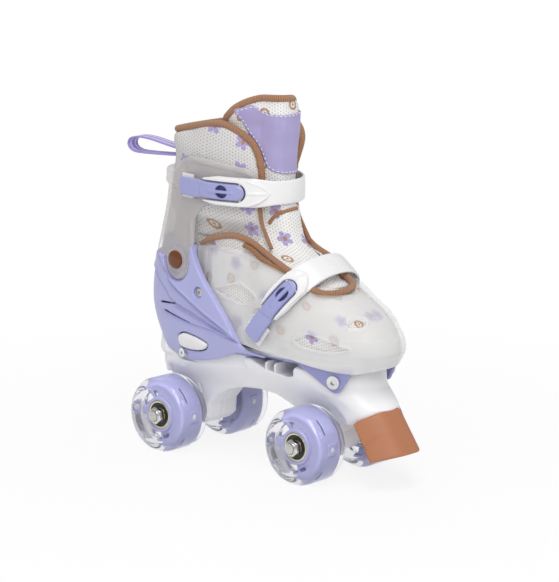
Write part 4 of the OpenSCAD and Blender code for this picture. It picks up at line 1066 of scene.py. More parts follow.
def build_base_plate():
    space = Space((-102, -45, 69), (114, 45, 94), 0.8)
    depth = space.boot()
    inset = 3.6 + 7.0 * ease(14, 24, space.x) * ease(70, 60, space.x) + 9 * ease(-84, -96, space.x)
    plate = round_max(depth + inset, np.abs(space.z - PLATE_Z) - PLATE_HALF_T, 1.2)
    plate = round_max(plate, space.x - PLATE_FRONT, 1.0)
    plate = np.maximum(plate, -button_well(space, 80, 99))
    along, across = math.cos(BRACKET_LEAN), math.sin(BRACKET_LEAN)
    beside = BRACKET_Y - space.aside
    a = (space.x - BRACKET_X) * along + beside * across
    t = (space.x - BRACKET_X) * across - beside * along
    leaf = polygon_distance(a[:, :, :1], space.z, BRACKET)
    bracket = round_max(round_max(leaf, t - BRACKET_T, 1.2), -0.1 - t, 0.4)
    piece = solid("sole_plate", space, np.minimum(plate, bracket))
    # Its darker lavender is painted shade of the toe shell's shadow
    dress(piece, plate_painted_shade, "chassis", "lavender", "base_plate")


build_base_plate()

# Toe stop

STOP_SIDE = [(107, 49.2), (123, 58.7), (144, 28.5), (123, 22)]
STOP_NOSE = [(9, 24.3), (4, 21.4), (-2, 16.8), (-7, 11.2), (-10.4, 5.6), (-11.6, 0)]
STOP_PLAN = np.concatenate([
    [(18, 24.5)], spline(STOP_NOSE), spline([(a, -b) for a, b in STOP_NOSE[::-1]])[1:], [(18, -24.5)]])
STOP_SLANT = math.radians(35)
STOP_TOP = (116, 54)
STOP_CREASE = 1.1


def build_toe_stop():
    space = Space((104, -27, 19), (147, 27, 62), 0.6)
    dx, dz = space.x - STOP_TOP[0], space.z - STOP_TOP[1]
    across = -math.cos(STOP_SLANT) * dx - math.sin(STOP_SLANT) * dz
    down = math.sin(STOP_SLANT) * dx - math.cos(STOP_SLANT) * dz
    plan = polygon_distance(across, space.y, STOP_PLAN)
    crease = STOP_CREASE * bead(down - 17 - 0.15 * across, 2.0) * ease(-6, 9, across)
    body = round_max(space.side(STOP_SIDE), plan + crease, 2.4)
    dress(solid("toe_stop_block", space, body), stop_rubber, "chassis", "stop_rubber", "toe_stop")


build_toe_stop()

# Straps and levers, shaped flat and then bent along the strap's line

# The instep strap's plane: a place in X and Z, its lean, and the height and squareness of the arch
INSTEP = (29.5, 110.0)
INSTEP_LEAN = math.radians(36.5)
INSTEP_ARCH = 60.0
INSTEP_SQUARE = 2.3
TURNS = np.linspace(-130, 130, 1041)
# Height over the boot's surface at which lengths are measured
BEND_AT = 2.5


def cuff_line(turn, offset):
    return boot_point(turn, CUFF_STRAP_Z, offset)[..., :2]


def place_cuff(x, y, w):
    return np.stack([x, y, CUFF_STRAP_Z + w], axis=1)


def instep_line(turn, offset):
    beyond = np.maximum(np.abs(turn) - 90, 0) * 0.75
    held = np.radians(np.clip(turn, -90, 90))
    reach = (INSTEP_ARCH + offset) * power(np.cos(held), INSTEP_SQUARE) - beyond
    aside = (HALF_W + offset) * power(np.sin(held), INSTEP_SQUARE)
    return np.stack(np.broadcast_arrays(reach, aside), axis=-1)


def place_instep(v, y, w):
    x = INSTEP[0] + v * math.sin(INSTEP_LEAN) - w * math.cos(INSTEP_LEAN)
    return np.stack([x, y, INSTEP[1] + v * math.cos(INSTEP_LEAN) + w * math.sin(INSTEP_LEAN)], axis=1)


class Bend:
    """Maps a flat strap, with its length, width and thickness, onto its line round the boot."""

    def __init__(self, line, place):
        self.line = line
        self.place = place
        path = line(TURNS, BEND_AT)
        lengths = np.concatenate([[0], np.cumsum(np.linalg.norm(np.diff(path, axis=0), axis=1))])
        self.lengths = lengths - np.interp(0, TURNS, lengths)

    def at(self, turn):
        return float(np.interp(turn, TURNS, self.lengths))

    def __call__(self, points):
        turn = np.interp(points[:, 0], self.lengths, TURNS)
        flat = self.line(turn, points[:, 2])
        return self.place(flat[:, 0], flat[:, 1], points[:, 1])


cuff_bend = Bend(cuff_line, place_cuff)
instep_bend = Bend(instep_line, place_instep)
# A strap: its gap to the boot, thickness, half width, how much thinner it is ahead of the leaf, and its slot
STRAP_GAP = 0.7
STRAP_T = 2.6
STRAP_HALF = 11.0
STRAP_THIN = 0.7
SLOT_HALF = 7.5
# The leaf ahead of the slot, with a line inside its edge and a spine
LEAF_HALF = 10.6
LEAF_RISE = 2.2
LEAF_LINE = 0.5
LEAF_SPINE = 0.6


def build_strap(name, bend, fork, slot, hinge, reach, front_half, body):
    rear, mouth, front = bend.at(fork), bend.at(slot), bend.at(hinge)
    space = Space((rear - 2, -13, -0.5), (front + 2, 13, 8), 0.5)
    s, w, t = space.x, space.aside, space.z
    tip = mouth + reach
    leaf = LEAF_HALF * (1 - np.clip((s - mouth) / reach, 0, 1) ** 1.7)
    raised = LEAF_RISE * soft(leaf - w, 0.7) * ease(tip, mouth + 0.4 * reach, s)
    line = LEAF_LINE * bead(w - leaf + 1.6, 0.6) * ease(mouth - 2, mouth + 3, s)
    line = line * ease(tip, mouth + 0.8 * reach, s)
    spine = LEAF_SPINE * bead(w, 0.9) * ease(mouth, mouth + 2, s) * ease(tip, mouth + 0.6 * reach, s)
    thin = STRAP_THIN * ease(mouth + 8, mouth + 30, s)
    top = STRAP_GAP + STRAP_T - thin + raised + line + spine - 0.5 * (w / STRAP_HALF) ** 2
    narrow = (STRAP_HALF - front_half) * ease(mouth + 4, mouth + 26, s) * ease(front - 4, front - 24, s)
    half = STRAP_HALF - 2.2 * ease(rear + 16, rear, s) - narrow
    length = round_max(rear - s, s - front - 1.4, 1.0)
    flat = round_max(round_max(w - half, length, 2.5), t - top, 1.3)
    flat = round_max(flat, STRAP_GAP - t, 0.5)
    slot_field = np.hypot(np.maximum(s - (mouth - SLOT_HALF), 0), w) - SLOT_HALF
    dress(solid(name, space, carve(flat, slot_field, 0.9), bend), white_gloss, body, "strap_white", body)


# A lever: half widths of its nose and tail, its thickness, and how far its rib stands out
NOSE_R = 7
LEVER_HALF = 6.9
LEVER_TAIL = 2.8
LEVER_T = 4.7
LEVER_RIB = 0.7
# Height of the pin over the strap's underside, and the radius of its hole
PIN_RISE = 2.5
PIN_R = 1.3


def build_lever(name, bend, pin, fork, end, eye, eye_size, bar, body):
    hinge, waist, start, middle = bend.at(pin), bend.at(fork), bend.at(end), bend.at(eye)
    finish = hinge + 3.4
    space = Space((start - 1.5, -11.5, 0), (finish + 1.5, 11.5, 9.5), 0.4)
    s, w, t = space.x, space.aside, space.z
    share = np.clip((hinge - s) / (hinge - start), 0, 1)
    half = LEVER_HALF + LEVER_TAIL * ease(waist + 1, waist - 3, s + 0.25 * w)
    nose = np.maximum(s - (finish - NOSE_R), 0)
    oval = np.hypot(nose + np.maximum((waist + 4) - s, 0), w) - NOSE_R
    step = 0.6 * soft(-(oval + 1.6), 0.4)
    tail_line = 0.5 * bead(s - waist + 1.5 + 0.18 * space.y + 0.05 * w * w, 0.8)
    top = STRAP_GAP + LEVER_T + 0.5 * ease(0, 0.6, share) + step - tail_line - 0.5 * (w / half) ** 2
    low = STRAP_GAP + 0.2 + 2.3 * ease(0.3, 0.9, share)
    flat = round_max(w - half, round_max(start - s, np.hypot(nose, w) - LEVER_HALF, 1.5), 3.0)
    flat = round_max(round_max(flat, t - top, 1.2), low - t, 0.6)
    hole = (np.hypot((s - middle) / eye_size[0], w / eye_size[1]) - 1) * min(eye_size)
    flat = carve(flat, hole, 0.7)
    rib = np.hypot(np.maximum(np.abs(s - middle + 1) - 9.5, 0), w) - bar
    rib = round_max(rib, t - top - LEVER_RIB, 0.8)
    flat = round_min(flat, round_max(rib, top - 2.4 - t, 0.4), 0.5)
    flat = np.maximum(flat, -(np.hypot(s - hinge, t - STRAP_GAP - PIN_RISE) - PIN_R))
    dress(solid(name, space, flat, bend), lever_plastic, body, "lever_lavender", body)
    # A dark sheet inside the eye: painted shade in the hole
    inset = round_max(np.maximum(hole - 0.8, t - top + 2.6), top - 3.6 - t, 0.3)
    dress(solid(name + "_eye", space, inset, bend), lever_eye_shade, body, "lever_lavender")


def build_strap_tail(name, bend, first, last, body, node):
    rear, front = bend.at(first), bend.at(last)
    space = Space((rear - 1.5, -13, -0.5), (front + 1.5, 13, 6), 0.5)
    length = round_max(rear - space.x, space.x - front, 1.0)
    flat = round_max(round_max(space.aside - STRAP_HALF, length, 4.0), space.z - 3.6, 1.2)
    flat = round_max(flat, 0.4 - space.z, 0.4)
    dress(solid(name, space, flat, bend), white_gloss, body, "strap_white", node)


build_strap("cuff_strap_band", cuff_bend, -89, -52, 80, 20, 9.0, "cuff_strap")
build_strap("instep_strap_band", instep_bend, -75, -42.5, 74, 12, 10.0, "instep_strap")
build_lever("cuff_buckle", cuff_bend, -57, -89, -106, -72, (4.9, 4.9), 1.1, "cuff_lever")
build_lever("instep_buckle", instep_bend, -47, -75, -97, -57, (5.6, 4.4), 1.5, "instep_lever")
build_strap_tail("cuff_strap_anchor", cuff_bend, 83.6, 101, "cuff", "cuff_strap_tail")
build_strap_tail("instep_strap_anchor", instep_bend, 77.2, 92, "toe", "instep_strap_tail")

# Wheels, in radius and in distance from their middle, which is positive out of the skate

WHEELS = {"front_left": (WHEEL_X, 1), "front_right": (WHEEL_X, -1), "rear_left": (-WHEEL_X, 1),
          "rear_right": (-WHEEL_X, -1)}
TYRE_SIDE = [(12.6, 9.6), (14.4, 10.9), (17.2, 11.8), (19.6, 13.2)]
TYRE_PROFILE = np.concatenate([
    TYRE_SIDE, arc(22, 9, 7.0, 100, 0, 12), arc(22, -9, 7.0, 0, -100, 12),
    [(r, -b) for r, b in TYRE_SIDE[::-1]]])[::-1]
RING_PROFILES = [
    [(9.3, 4.05), (10.95, 4.05), (10.95, 10.7), (10.7, 10.95), (9.5, 10.95), (9.3, 10.7)],
    [(4.0, 4.05), (5.9, 4.05), (5.9, 10.7), (5.7, 10.95), (4.2, 10.95), (4.0, 10.7)],
]
SHIELD_PROFILE = [
    (5.95, 4.6), (9.25, 4.6), (9.25, 10.2), (8.8, 10.3), (8.4, 10.1), (7, 10.15), (6.4, 10.3), (5.95, 10.2)]
# Openings of the core's fan: angle, half its span, and inner and outer radius
FAN_GAPS = ((102, 6, 14.8, 20.4), (-66, 11, 16.6, 20.6))
# Slits of the core's rim: angle, half its span, and distance from the middle
RIM_SLITS = ((42, 15, 3.5), (-48, 9, 4.5), (30, 6, 7.5))
NUT_FLATS = np.radians((10, 70, 130))
NUT_BORE = 4.05


def slab(v, middle, half):
    return np.abs(v - middle) - half


def between(r, inner, outer):
    return np.maximum(r - outer, inner - r)


def core_parts():
    """A wheel's core: a hub, a fan and a rim over its front half, an arm and the boxes of its lights."""
    space = Space((-25, -13, -25), (25, 13, 25), 0.5)
    b, r = space.y, space.ring(0, 0)
    angle = np.degrees(np.arctan2(space.z, space.x))
    per_degree = np.maximum(r, 6) * math.pi / 180
    bore = np.where(space.aside > 4, 11.05 - r, 9 - r)
    hub = np.maximum(round_max(r - 13.6, space.aside - 11.2, 1.0), bore)
    sector = slab(angle - 16, 4 * ease(13, 22, r), 103) * per_degree
    fan = round_max(round_max(r - 22.6, slab(b, 7.4, 2.2), 0.8), round_max(sector, 12 - r, 1.0), 1.6)
    for at, span, inner, outer in FAN_GAPS:
        ring = slab(r, (inner + outer) / 2, (outer - inner) / 2)
        fan = carve(fan, round_max(slab(angle, at, span) * per_degree, ring, 1.5), 0.6)
    half = slab(angle, 14, 112) * per_degree
    rim = round_max(between(r, 20.9, 23.3), slab(b, -0.6, 9.4), 0.8)
    rim = round_max(rim, half, 1.0)
    for at, span, off in RIM_SLITS:
        rim = carve(rim, np.maximum(slab(angle, at, span) * per_degree, slab(b, off, 0.6)), 0.3)
    tall = np.abs(space.z)
    arm = round_max(round_max(tall - 2.0, slab(b, -1, 2.0), 0.8), slab(space.x, -16, 4), 0.6)
    box = round_max(round_max(tall - 4.2, slab(b, -1, 4.2), 1.5), slab(np.abs(space.x), 21.4, 2.4), 0.6)
    web = np.maximum(round_max(slab(b, -7, 1.4), between(r, 12, 22), 0.8), half + 3)
    body = round_min(round_min(hub, fan, 1.2), round_min(rim, web, 0.8), 0.8)
    return surface_net(round_min(round_min(body, arm, 0.8), box, 0.6), space)


def nut_parts():
    space = Space((-9, 11, -9), (9, 18, 9), 0.3)
    r = space.ring(0, 0)
    across = [space.x * math.cos(a) + space.z * math.sin(a) for a in NUT_FLATS]
    flats = np.maximum.reduce([np.abs(v) - 5.9 for v in across])
    cone = r - 6.7 + np.maximum(space.y - 15.2, 0) * 1.2
    body = round_max(round_max(flats, cone, 0.4), slab(space.y, 14, 2.2), 0.4)
    collar = round_max(between(r, 4.1, 5.0), slab(space.y, 14.5, 2.9), 0.7)
    return surface_net(np.maximum(round_min(body, collar, 0.3), NUT_BORE - r), space)


def lens_parts():
    space = Space((22, -5, -5), (26, 4, 5), 0.25)
    dot = np.hypot(np.hypot(space.y + 1, space.z) / 2.0, (space.x - 23.6) / 0.8) - 1
    points, faces = surface_net(round_max(dot, 22.6 - space.x, 0.2), space)
    return joined([(points, faces), (points * (-1, 1, -1), faces)])


def build_wheels():
    rings = joined([lathe(p) for p in RING_PROFILES])
    shield = lathe(SHIELD_PROFILE)
    kinds = [
        ("tyre_cast", lathe(TYRE_PROFILE, 128), clear_tyre, "tyre_clear", "tyre"),
        ("core_moulding", core_parts(), core_plastic, "core_lavender", "core"),
        ("bearing_rings", joined([rings, mirrored(rings)]), ring_steel, "chrome", "bearings"),
        ("bearing_shields", joined([shield, mirrored(shield)]), black_shield, "chrome", None),
        ("light_lens", lens_parts(), light_box, "light_box", "leds"),
    ]
    nut = nut_parts()
    nuts = []
    for wheel, (x, side) in WHEELS.items():
        place = (x, side * WHEEL_Y, AXLE_Z)
        for name, parts, material, slot, node in kinds:
            points, faces = parts if side > 0 else mirrored(parts)
            piece = make_mesh(f"{name}_{wheel}", points + place, faces)
            dress(piece, material, "wheel_" + wheel, slot, *([f"{node}_{wheel}"] if node else []))
            piece.visible_shadow = name != "tyre_cast"
        points, faces = nut if side > 0 else mirrored(nut)
        nuts.append((points + place, faces))
    dress(make_mesh("lock_nuts", *joined(nuts)), chrome, "chassis", "chrome", "axle_nuts")


build_wheels()

# Fabrics

# Radius at which a turn round the boot is measured along its cloth
CLOTH_R = 42
PIPING_STEP = 1.2
PIPING_SIDES = 12
# The cloth of the ankle lies between two bodies: their names, and two places between them, in metres
ANKLE = ("chassis", "cuff", (0.0, 0.0, 0.166), (0.0, 0.0, 0.196))


def boot_cloth(points):
    """How far, in millimetres, each point lies round the boot and up it."""
    x, y, z = points.T
    mid, reach, half, n = half_section(x, section(z))
    c = np.sign(x - mid) * (np.abs(x - mid) / reach) ** (n / 2)
    s = np.sign(y) * (np.abs(y) / half) ** (n / 2)
    return np.stack([np.arctan2(s, c) * CLOTH_R, z, np.zeros(len(points))], axis=1)


def toe_cloth(points):
    """How far each point lies along the toe and up over it."""
    inward = np.abs(points[:, 1])
    return np.stack([points[:, 0] - 0.5 * inward, points[:, 2] - inward, np.zeros(len(points))], axis=1)


def piping(name, path, radius, material, body):
    """A corded edge along a path; its radius is a number or a function of the path's points."""
    path = even(path, PIPING_STEP)
    count, sides = len(path), PIPING_SIDES
    radius = np.broadcast_to(radius(path) if callable(radius) else radius, count)
    faces = tube_faces(count, sides)
    faces.append(list(range(sides))[::-1])
    faces.append([(count - 1) * sides + j for j in range(sides)])
    piece = make_mesh(name, tube_points(path, radius, sides), faces)
    along = np.repeat(np.arange(count) * PIPING_STEP, sides)
    around = np.repeat(radius, sides) * np.tile(np.sin(np.arange(sides) * 2 * math.pi / sides), count)
    store(piece, np.stack([along, around, np.zeros(count * sides)], axis=1))
    dress(piece, material, body, "fabric")


# Turn and height along the collar's upper edge, from its front to the back
COLLAR_EDGE = np.array([
    (43, 168), (42, 186), (39, 200), (35, 214), (33.5, 224), (35.5, 234), (40, 241.5), (45, 246), (53, 250.5),
    (61, 254), (70, 256.7), (80, 258), (96, 256), (115, 252), (140, 248), (160, 246.5), (180, 246)])
COLLAR_LOW = [(-112, 244.5), (-112, 168), (-26, 170), (-2, 170), (7, 163), (26, 162)]
COLLAR_IN = 5.2
# How far the collar opens at its inner front and at the back
COLLAR_OPEN = (10.0, 4.5)
COLLAR_SINK = 6.4
COLLAR_WALL = 5.0
COLLAR_THIN = 2.4


def collar_flare(x, y, z):
    front = COLLAR_OPEN[0] * ease(216, 252, z) * ease(-45, -2, x) * (np.asarray(y) > 0)
    return front + COLLAR_OPEN[1] * ease(224, 248, z) * ease(-46, -68, x)


def collar_path():
    turns, heights = np.concatenate([COLLAR_EDGE * (-1, 1), COLLAR_EDGE[-2::-1]]).T
    closed = boot_point(turns, heights, -COLLAR_IN)
    return spline(boot_point(turns, heights, collar_flare(*closed.T) - COLLAR_IN))


def build_collar():
    space = Space((-100, -46, 158), (40, 46, 262), 0.9)
    edge = boot_point(-COLLAR_EDGE[:, 0], COLLAR_EDGE[:, 1] - 1.5, -COLLAR_IN - 0.5)[:, [0, 2]]
    edge[:, 0] -= 1.2 * ease(250, 235, edge[:, 1])
    side = space.side(np.concatenate([spline(edge), COLLAR_LOW]))
    under = ease(190, 178, space.z)
    swell = np.maximum(ease(230, 240, space.z), ease(12, 18, space.x))
    puff = (1 - np.exp(-np.maximum(-side, 0) / 7)) * swell
    wall = COLLAR_WALL - COLLAR_THIN * under
    layer = space.boot() + INNER_SHELL + COLLAR_SINK * under - collar_flare(space.x, space.y, space.z)
    body = round_max(round_max(layer - puff, -(layer + wall), 2.0), side, 3.0)
    piece = solid("ankle_collar", space, body, cloth=boot_cloth)
    # Its darker knit is painted shade
    dress(piece, collar_mesh_painted_shade, ANKLE, "fabric", "collar")
    piping("collar_binding", collar_path(), lambda p: 1.4 + 1.2 * ease(196, 212, p[:, 2]), binding, ANKLE)


build_collar()

VAMP_EDGE = np.array([
    (-40, 164), (-33, 167.4), (-20, 172.2), (-4, 174.7), (11, 170.6), (26, 162.4), (42, 157), (55, 152.2),
    (67, 147), (76, 143.4), (83, 141.2)])
VAMP_LOW = [(92, 139.6), (130, 139), (130, 94.6), (-36, 94.6), (-40, 140)]
THROAT = [(42, -26, 156.6), (55, -26, 151.6), (66.5, -25.5, 145.8), (74, -23.5, 142.4), (80, -17, 141.6),
          (83.5, -8, 142.2), (83.5, 0, 143.2), (80.5, 6.5, 145), (74, 9.5, 148), (66, 10, 151), (56, 14, 155),
          (48, 20, 156.4), (42, 26, 156.6)]
VAMP_T = 3
VAMP_PUFF = 1.6
BRAID_R = 1.9


def vamp_side(points, depth):
    return np.stack([points[:, 0], -side_y(points[:, 0], points[:, 1], -depth), points[:, 1]], axis=1)


def build_vamp():
    space = Space((-46, -43, 94), (129, 43, 182), 0.9)
    side = space.side(np.concatenate([spline(VAMP_EDGE), VAMP_LOW]))
    puff = VAMP_PUFF * ease(0.5, 8, space.side(TOE_OUTLINE)) * ease(160, 168, space.z)
    layer = space.boot() + (INNER_SHELL + tuck(space.x))
    body = round_max(round_max(layer - puff, -(layer + VAMP_T), 1.5), side, 2.0)
    piece = solid("toe_upper", space, body, cloth=toe_cloth)
    dress(piece, print_mesh, "toe", "fabric", "vamp")
    rear = VAMP_EDGE[:6]
    edge = vamp_side(rear + (0, 0.6), 4.4 + 2.4 * ease(-24, -40, rear[:, 0]))
    path = spline(np.concatenate([edge, THROAT, edge[::-1] * (1, -1, 1)]))
    piping("throat_piping", path, lambda p: 2.5 - 0.9 * ease(-30, -40, p[:, 0]), binding, "toe")
    seam = spline(vamp_side(VAMP_EDGE[3:8] - (0, 2.8), 2.4))[4:]
    for name, flip in (("outer_braid", 1), ("inner_braid", -1)):
        piping(name, seam * (1, flip, 1), BRAID_R, braid, "toe")


build_vamp()

LINER_OUTLINE = [(-112, 99), (4, 99), (14, 140), (42, 148), (44, 160), (26, 178), (0, 184), (-26, 182),
                 (-40, 173), (-112, 170)]
LINER_T = 3
# The footbed's middle height, half thickness and distance inside the boot's surface
FOOTBED = (97.1, 1.95, 16.6)


def build_liner():
    space = Space((-98, -38, 96), (46, 38, 190), 1.0)
    depth = space.boot()
    cover = 12.6 - 3.2 * ease(-30, -66, space.x)
    body = round_max(depth + cover, -(depth + cover + LINER_T), 1.2)
    piece = solid("heel_lining", space, round_max(body, space.side(LINER_OUTLINE), 2.5), cloth=boot_cloth)
    dress(piece, plain_mesh, "chassis", "fabric", "heel_liner")


def build_footbed():
    space = Space((-90, -30, 93), (118, 30, 101), 0.8)
    middle, half, inset = FOOTBED
    plan = boot_point(np.linspace(0, 355, 72), 97.0, -inset)[:, :2]
    body = round_max(space.plan(plan), slab(space.z, middle, half), 1.6)
    piece = solid("footbed", space, body, cloth=boot_cloth)
    dress(piece, foot_mesh, "chassis", "footbed", "insole")


build_liner()
build_footbed()

# The tongue at heights: depth of its middle under the boot's surface, and the turn to its edges
TONGUE_DEPTH = [(140, 8), (165, 7.6), (180, 5), (195, 2.5), (222, 1.4), (240, -1), (256, -3.5), (290, -4)]
TONGUE_SPREAD = [(140, 62), (192, 64), (214, 74), (290, 76)]
TONGUE_LOW = 143.0
# Places across the tongue, from -1 at its outer edge to 1, and heights of its upper edge and its fold
TONGUE_EDGE = [(-1, 262), (-0.85, 270), (-0.65, 275.5), (-0.4, 278.3), (0, 278), (0.1, 275.5), (0.2, 268),
               (0.35, 262), (0.6, 257), (1, 250)]
TONGUE_FOLD = np.array([(-0.52, 185), (-0.4, 190), (-0.27, 193.5), (-0.1, 195.3), (0.1, 195.5)])
TONGUE_GRID = (61, 91)
BINDING_R = 2.7
FOLD_R = 1.5


def tongue_point(s, z, lift=0.0):
    """Points of the tongue's face at places across it and heights."""
    s, z = np.broadcast_arrays(np.asarray(s, float), np.asarray(z, float))
    turn = s * smooth_at(*zip(*TONGUE_SPREAD), z)
    edge = INNER_SHELL + COLLAR_WALL + 1.3 + ease(196, 176, z) - 4 * ease(256, 272, z)
    middle = smooth_at(*zip(*TONGUE_DEPTH), z)
    cover = middle + (edge - middle) * ease(10, 35, np.abs(turn))
    return boot_point(turn, z, lift - cover)


def tongue_top(s):
    return smooth_at(*zip(*TONGUE_EDGE), s)


def build_tongue():
    rows, cols = TONGUE_GRID
    s = np.linspace(-1, 1, rows)[:, None]
    r = np.linspace(0, 1, cols)[None, :]
    z = TONGUE_LOW + (tongue_top(s) - TONGUE_LOW) * r
    crown = (1 - s ** 8) * np.minimum(1, 12 * (1 - r) + 0.02)
    outer = tongue_point(s, z, 0.5 * crown)
    inner = tongue_point(s, z, -1.6 - 3.2 * crown)
    points = np.concatenate([outer.reshape(-1, 3), inner.reshape(-1, 3)])
    index = np.arange(rows * cols).reshape(rows, cols)
    front = np.stack([index[:-1, :-1], index[1:, :-1], index[1:, 1:], index[:-1, 1:]], axis=-1).reshape(-1, 4)
    back = front[:, ::-1] + rows * cols
    border = np.concatenate([index[:-1, 0], index[-1, :-1], index[:0:-1, -1], index[0, :0:-1]])
    following = np.roll(border, -1)
    rim = np.stack([border, border + rows * cols, following + rows * cols, following], axis=1)
    piece = make_mesh("tongue_pad", points, np.concatenate([front, back, rim]))
    half = rows // 2
    across = np.cumsum(np.linalg.norm(np.diff(outer, axis=0, prepend=outer[:1]), axis=2), axis=0)
    along = np.cumsum(np.linalg.norm(np.diff(outer[half], axis=0, prepend=outer[half][:1]), axis=1))
    cloth = np.stack(np.broadcast_arrays(across - across[half], along[None, :], 0.0), axis=-1).reshape(-1, 3)
    store(piece, np.concatenate([cloth, cloth]))
    # Its lighter knit is painted light
    dress(piece, tongue_mesh_painted_light, ANKLE, "fabric", "tongue")
    over = np.linspace(-1, 1, 40)
    path = np.concatenate([
        tongue_point(-1.0, np.linspace(236, tongue_top(-1.0) - 2, 14), -1.2),
        tongue_point(over, tongue_top(over) + 0.4, -1.2 - 3.4 * ease(-0.05, 0.2, over)),
        tongue_point(1.0, np.linspace(tongue_top(1.0) - 2, 230, 14), -4.6)])
    piping("tongue_binding", spline(path, 2), BINDING_R, binding, "cuff")
    piping("tongue_fold", spline(tongue_point(*TONGUE_FOLD.T, 0.2)), FOLD_R, binding, ANKLE)


build_tongue()

# The patch's outline, across the tongue and in height
PATCH = [(-0.86, 269), (-0.72, 271.8), (-0.58, 273.4), (-0.475, 270), (-0.36, 267.4), (-0.2, 266.6),
         (0, 266.8), (0.3, 267), (0.34, 250), (0.32, 226), (0.2, 221.6), (0, 221.5), (-0.2, 222.8),
         (-0.31, 225), (-0.36, 228.5), (-0.44, 240), (-0.55, 247.4), (-0.66, 254), (-0.775, 262.5)]
# Its samples: start, end and step in both directions, and the step in thickness
PATCH_S = (-0.96, 0.42, 0.012)
PATCH_Z = (219, 279, 0.7)
PATCH_STEP = 0.3
PATCH_HALF_T = 0.5
PATCH_LIFT = 1.1
SEAM_LIFT = 1.7
SEAM_SHARE = (0.93, 0.95)
# Millimetres across the tongue and in height for one unit of the outline
PATCH_MM = (60, 1)
STITCH_R = 0.42 * np.array([0.5, 1, 1, 1, 1, 0.5])
STITCH_PITCH = 9
STITCH_SIDES = 6


def stitches(name, path, body):
    """Short raised threads along a line, with gaps between them."""
    count = len(STITCH_R)
    last = (count - 1) * STITCH_SIDES
    ends = [[3, 2, 1, 0], [0, 5, 4, 3]]
    ends += [[last + k for k in face] for face in ((0, 1, 2, 3), (3, 4, 5, 0))]
    faces = np.array(tube_faces(count, STITCH_SIDES) + ends)
    starts = range(0, len(path) - count, STITCH_PITCH)
    parts = [(tube_points(path[i:i + count], STITCH_R, STITCH_SIDES), faces) for i in starts]
    dress(make_mesh(name, *joined(parts)), thread, body, "ribbon")


def build_patch():
    outline = even(np.concatenate([spline(PATCH, 5, True), PATCH[:1]]) * PATCH_MM, 1.0) / PATCH_MM
    across, up = np.arange(*PATCH_S), np.arange(*PATCH_Z)
    field = polygon_distance(across[:, None] * PATCH_MM[0], up[None, :], outline * PATCH_MM)
    grid = Space((0, 0, 0), (len(across) - 1, len(up) - 1, 8), 1.0)
    height = (grid.z - 4) * PATCH_STEP
    sheet = np.broadcast_to(field[:, :, None], (*field.shape, 9))
    points, faces = surface_net(round_max(sheet, np.abs(height) - PATCH_HALF_T, 0.4), grid)
    lift = (points[:, 2] - 4) * PATCH_STEP
    s, z = PATCH_S[0] + points[:, 0] * PATCH_S[2], PATCH_Z[0] + points[:, 1] * PATCH_Z[2]
    piece = make_mesh("tongue_patch", tongue_point(s, z, lift + PATCH_LIFT), faces)
    dress(piece, patch_leather, "cuff", "ribbon")
    centre = outline.mean(axis=0)
    seam = centre + (outline - centre) * SEAM_SHARE
    stitches("patch_stitches", even(tongue_point(*seam.T, SEAM_LIFT), 0.4), "cuff")


build_patch()

LOOP_PATH = [(-80.5, 227.6), (-90, 228.4), (-104, 230.2), (-118, 232), (-130, 232.2), (-138, 230.4),
             (-141, 226.6), (-139.4, 222.6), (-133, 220.4), (-120, 220.6), (-104, 221.6), (-90, 222.6),
             (-81, 223.4)]
# The ribbon's cross section, in Y and thickness
RIBBON = [(-5.5, 0.3), (-5.2, 0.6), (5.2, 0.6), (5.5, 0.3), (5.5, -0.3), (5.2, -0.6), (-5.2, -0.6),
          (-5.5, -0.3)]
RIBBON_STEP = 1.2


def build_loop():
    path = even(spline(LOOP_PATH), RIBBON_STEP)
    ahead = np.gradient(path, axis=0)
    normal = np.stack([-ahead[:, 1], ahead[:, 0]], axis=1) / np.linalg.norm(ahead, axis=1)[:, None]
    cross = []
    for a, b in zip(RIBBON, RIBBON[1:] + RIBBON[:1]):
        cross.extend(np.linspace(a, b, 7 if abs(a[0] - b[0]) > 5 else 2)[:-1])
    count, n = len(path), len(cross)
    points, cloth = [], []
    for i, (p, d) in enumerate(zip(path, normal)):
        for y, t in cross:
            points.append((p[0] + d[0] * t, y, p[1] + d[1] * t))
            cloth.append((i * RIBBON_STEP, y, 0))
    faces = [[i * n + j, (i + 1) * n + j, (i + 1) * n + (j + 1) % n, i * n + (j + 1) % n]
             for i in range(count - 1) for j in range(n)]
    faces += [list(range(n)), [(count - 1) * n + j for j in reversed(range(n))]]
    piece = make_mesh("heel_loop", np.array(points), faces)
    store(piece, cloth)
    dress(piece, striped_ribbon, "cuff", "ribbon", "pull_loop")


build_loop()

# Light, floor and camera, in metres

scene = bpy.context.scene
scene.view_settings.view_transform = "Standard"
FLOOR_TONE = (0.96, 0.96, 0.96, 1)
FLOOR_HALF = 9
# The floor glows by itself for the camera, less so under the object: distances, and shares of glow
GLOW_AT = (0.16, 0.5)
GLOW_SHARE = (0.84, 1.0)
# Strength of the sky's light on the object
SKY = 0.61
# Lamps: place, target, size and power in watts
LAMPS = {
    "key": ((1.15, -1.2, 1.5), (0, 0, 0.12), 0.9, 12),
    "rim": ((-1.2, 0.6, 1.3), (0, 0, 0.15), 0.8, 2.5),
    "top": ((0.6, -0.5, 2.0), (0, 0, 0.12), 0.8, 13),
}


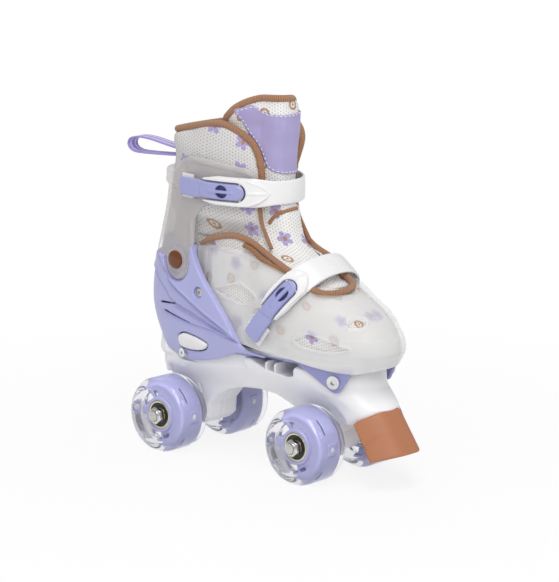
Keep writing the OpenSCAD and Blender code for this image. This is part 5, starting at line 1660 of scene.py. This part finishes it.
def build_floor():
    mesh = bpy.data.meshes.new("floor")
    corners = [(x * FLOOR_HALF, y * FLOOR_HALF, 0) for x, y in ((-1, -1), (1, -1), (1, 1), (-1, 1))]
    mesh.from_pydata(corners, [], [(0, 1, 2, 3)])
    floor = bpy.data.objects.new("floor", mesh)
    scene.collection.objects.link(floor)
    tree = new_tree("pale_floor")
    tree.set(Base_Color=FLOOR_TONE, Roughness=0.9)
    glow = tree.node("Emission", Color=(1, 1, 1, 1), Strength=1.0)
    away = tree.vector("LENGTH", tree.place()).outputs["Value"]
    seen = tree.rays("Camera", "Glossy", "Transmission")
    blend = tree.node("MixShader", Fac=tree.times(seen, tree.span(away, *GLOW_AT, *GLOW_SHARE)))
    tree.link(tree.shader.outputs[0], blend.inputs[1])
    tree.link(glow.outputs[0], blend.inputs[2])
    tree.show(blend.outputs[0])
    floor.data.materials.append(tree.owner)


def build_sky():
    world = bpy.data.worlds.new("studio")
    scene.world = world
    tree = Tree(world, "OutputWorld", "Background")
    tree.set(Strength=tree.span(tree.rays("Camera", "Transmission"), 0.0, 1.0, SKY, 1.0))


def add_lamp(name, place, target, size, watts):
    lamp = bpy.data.lights.new(name, "AREA")
    lamp.size = size
    lamp.energy = watts
    made = bpy.data.objects.new(name, lamp)
    made.location = place
    way = np.array(target) - np.array(place)
    tilt = math.acos(-way[2] / np.linalg.norm(way))
    made.rotation_euler = (tilt, 0, math.atan2(way[1], way[0]) - math.pi / 2)
    scene.collection.objects.link(made)


build_floor()
build_sky()
for lamp_name, values in LAMPS.items():
    add_lamp(lamp_name, *values)

AZIMUTH = math.radians(42.46)
ELEVATION = math.radians(12.53)
DISTANCE = 2.43875
LOOK_Z = 0.13
# The picture in pixels: its size, the place of its optical middle, and the focal length
IMAGE = (559, 582)
MIDDLE = (266.73, 289.55)
FOCAL = 3236.16
SENSOR = 36.0


def build_camera():
    data = bpy.data.cameras.new("camera")
    data.sensor_fit = "HORIZONTAL"
    data.sensor_width = SENSOR
    data.lens = FOCAL * SENSOR / IMAGE[0]
    data.shift_x = (IMAGE[0] / 2 - MIDDLE[0]) / IMAGE[0]
    data.shift_y = -(IMAGE[1] / 2 - MIDDLE[1]) / IMAGE[0]
    camera = bpy.data.objects.new("camera", data)
    level = math.cos(ELEVATION)
    back = np.array([math.sin(AZIMUTH) * level, -math.cos(AZIMUTH) * level, math.sin(ELEVATION)])
    camera.location = np.array([0, 0, LOOK_Z]) + back * DISTANCE
    camera.rotation_euler = (math.pi / 2 - ELEVATION, 0, AZIMUTH)
    scene.collection.objects.link(camera)
    scene.camera = camera


build_camera()
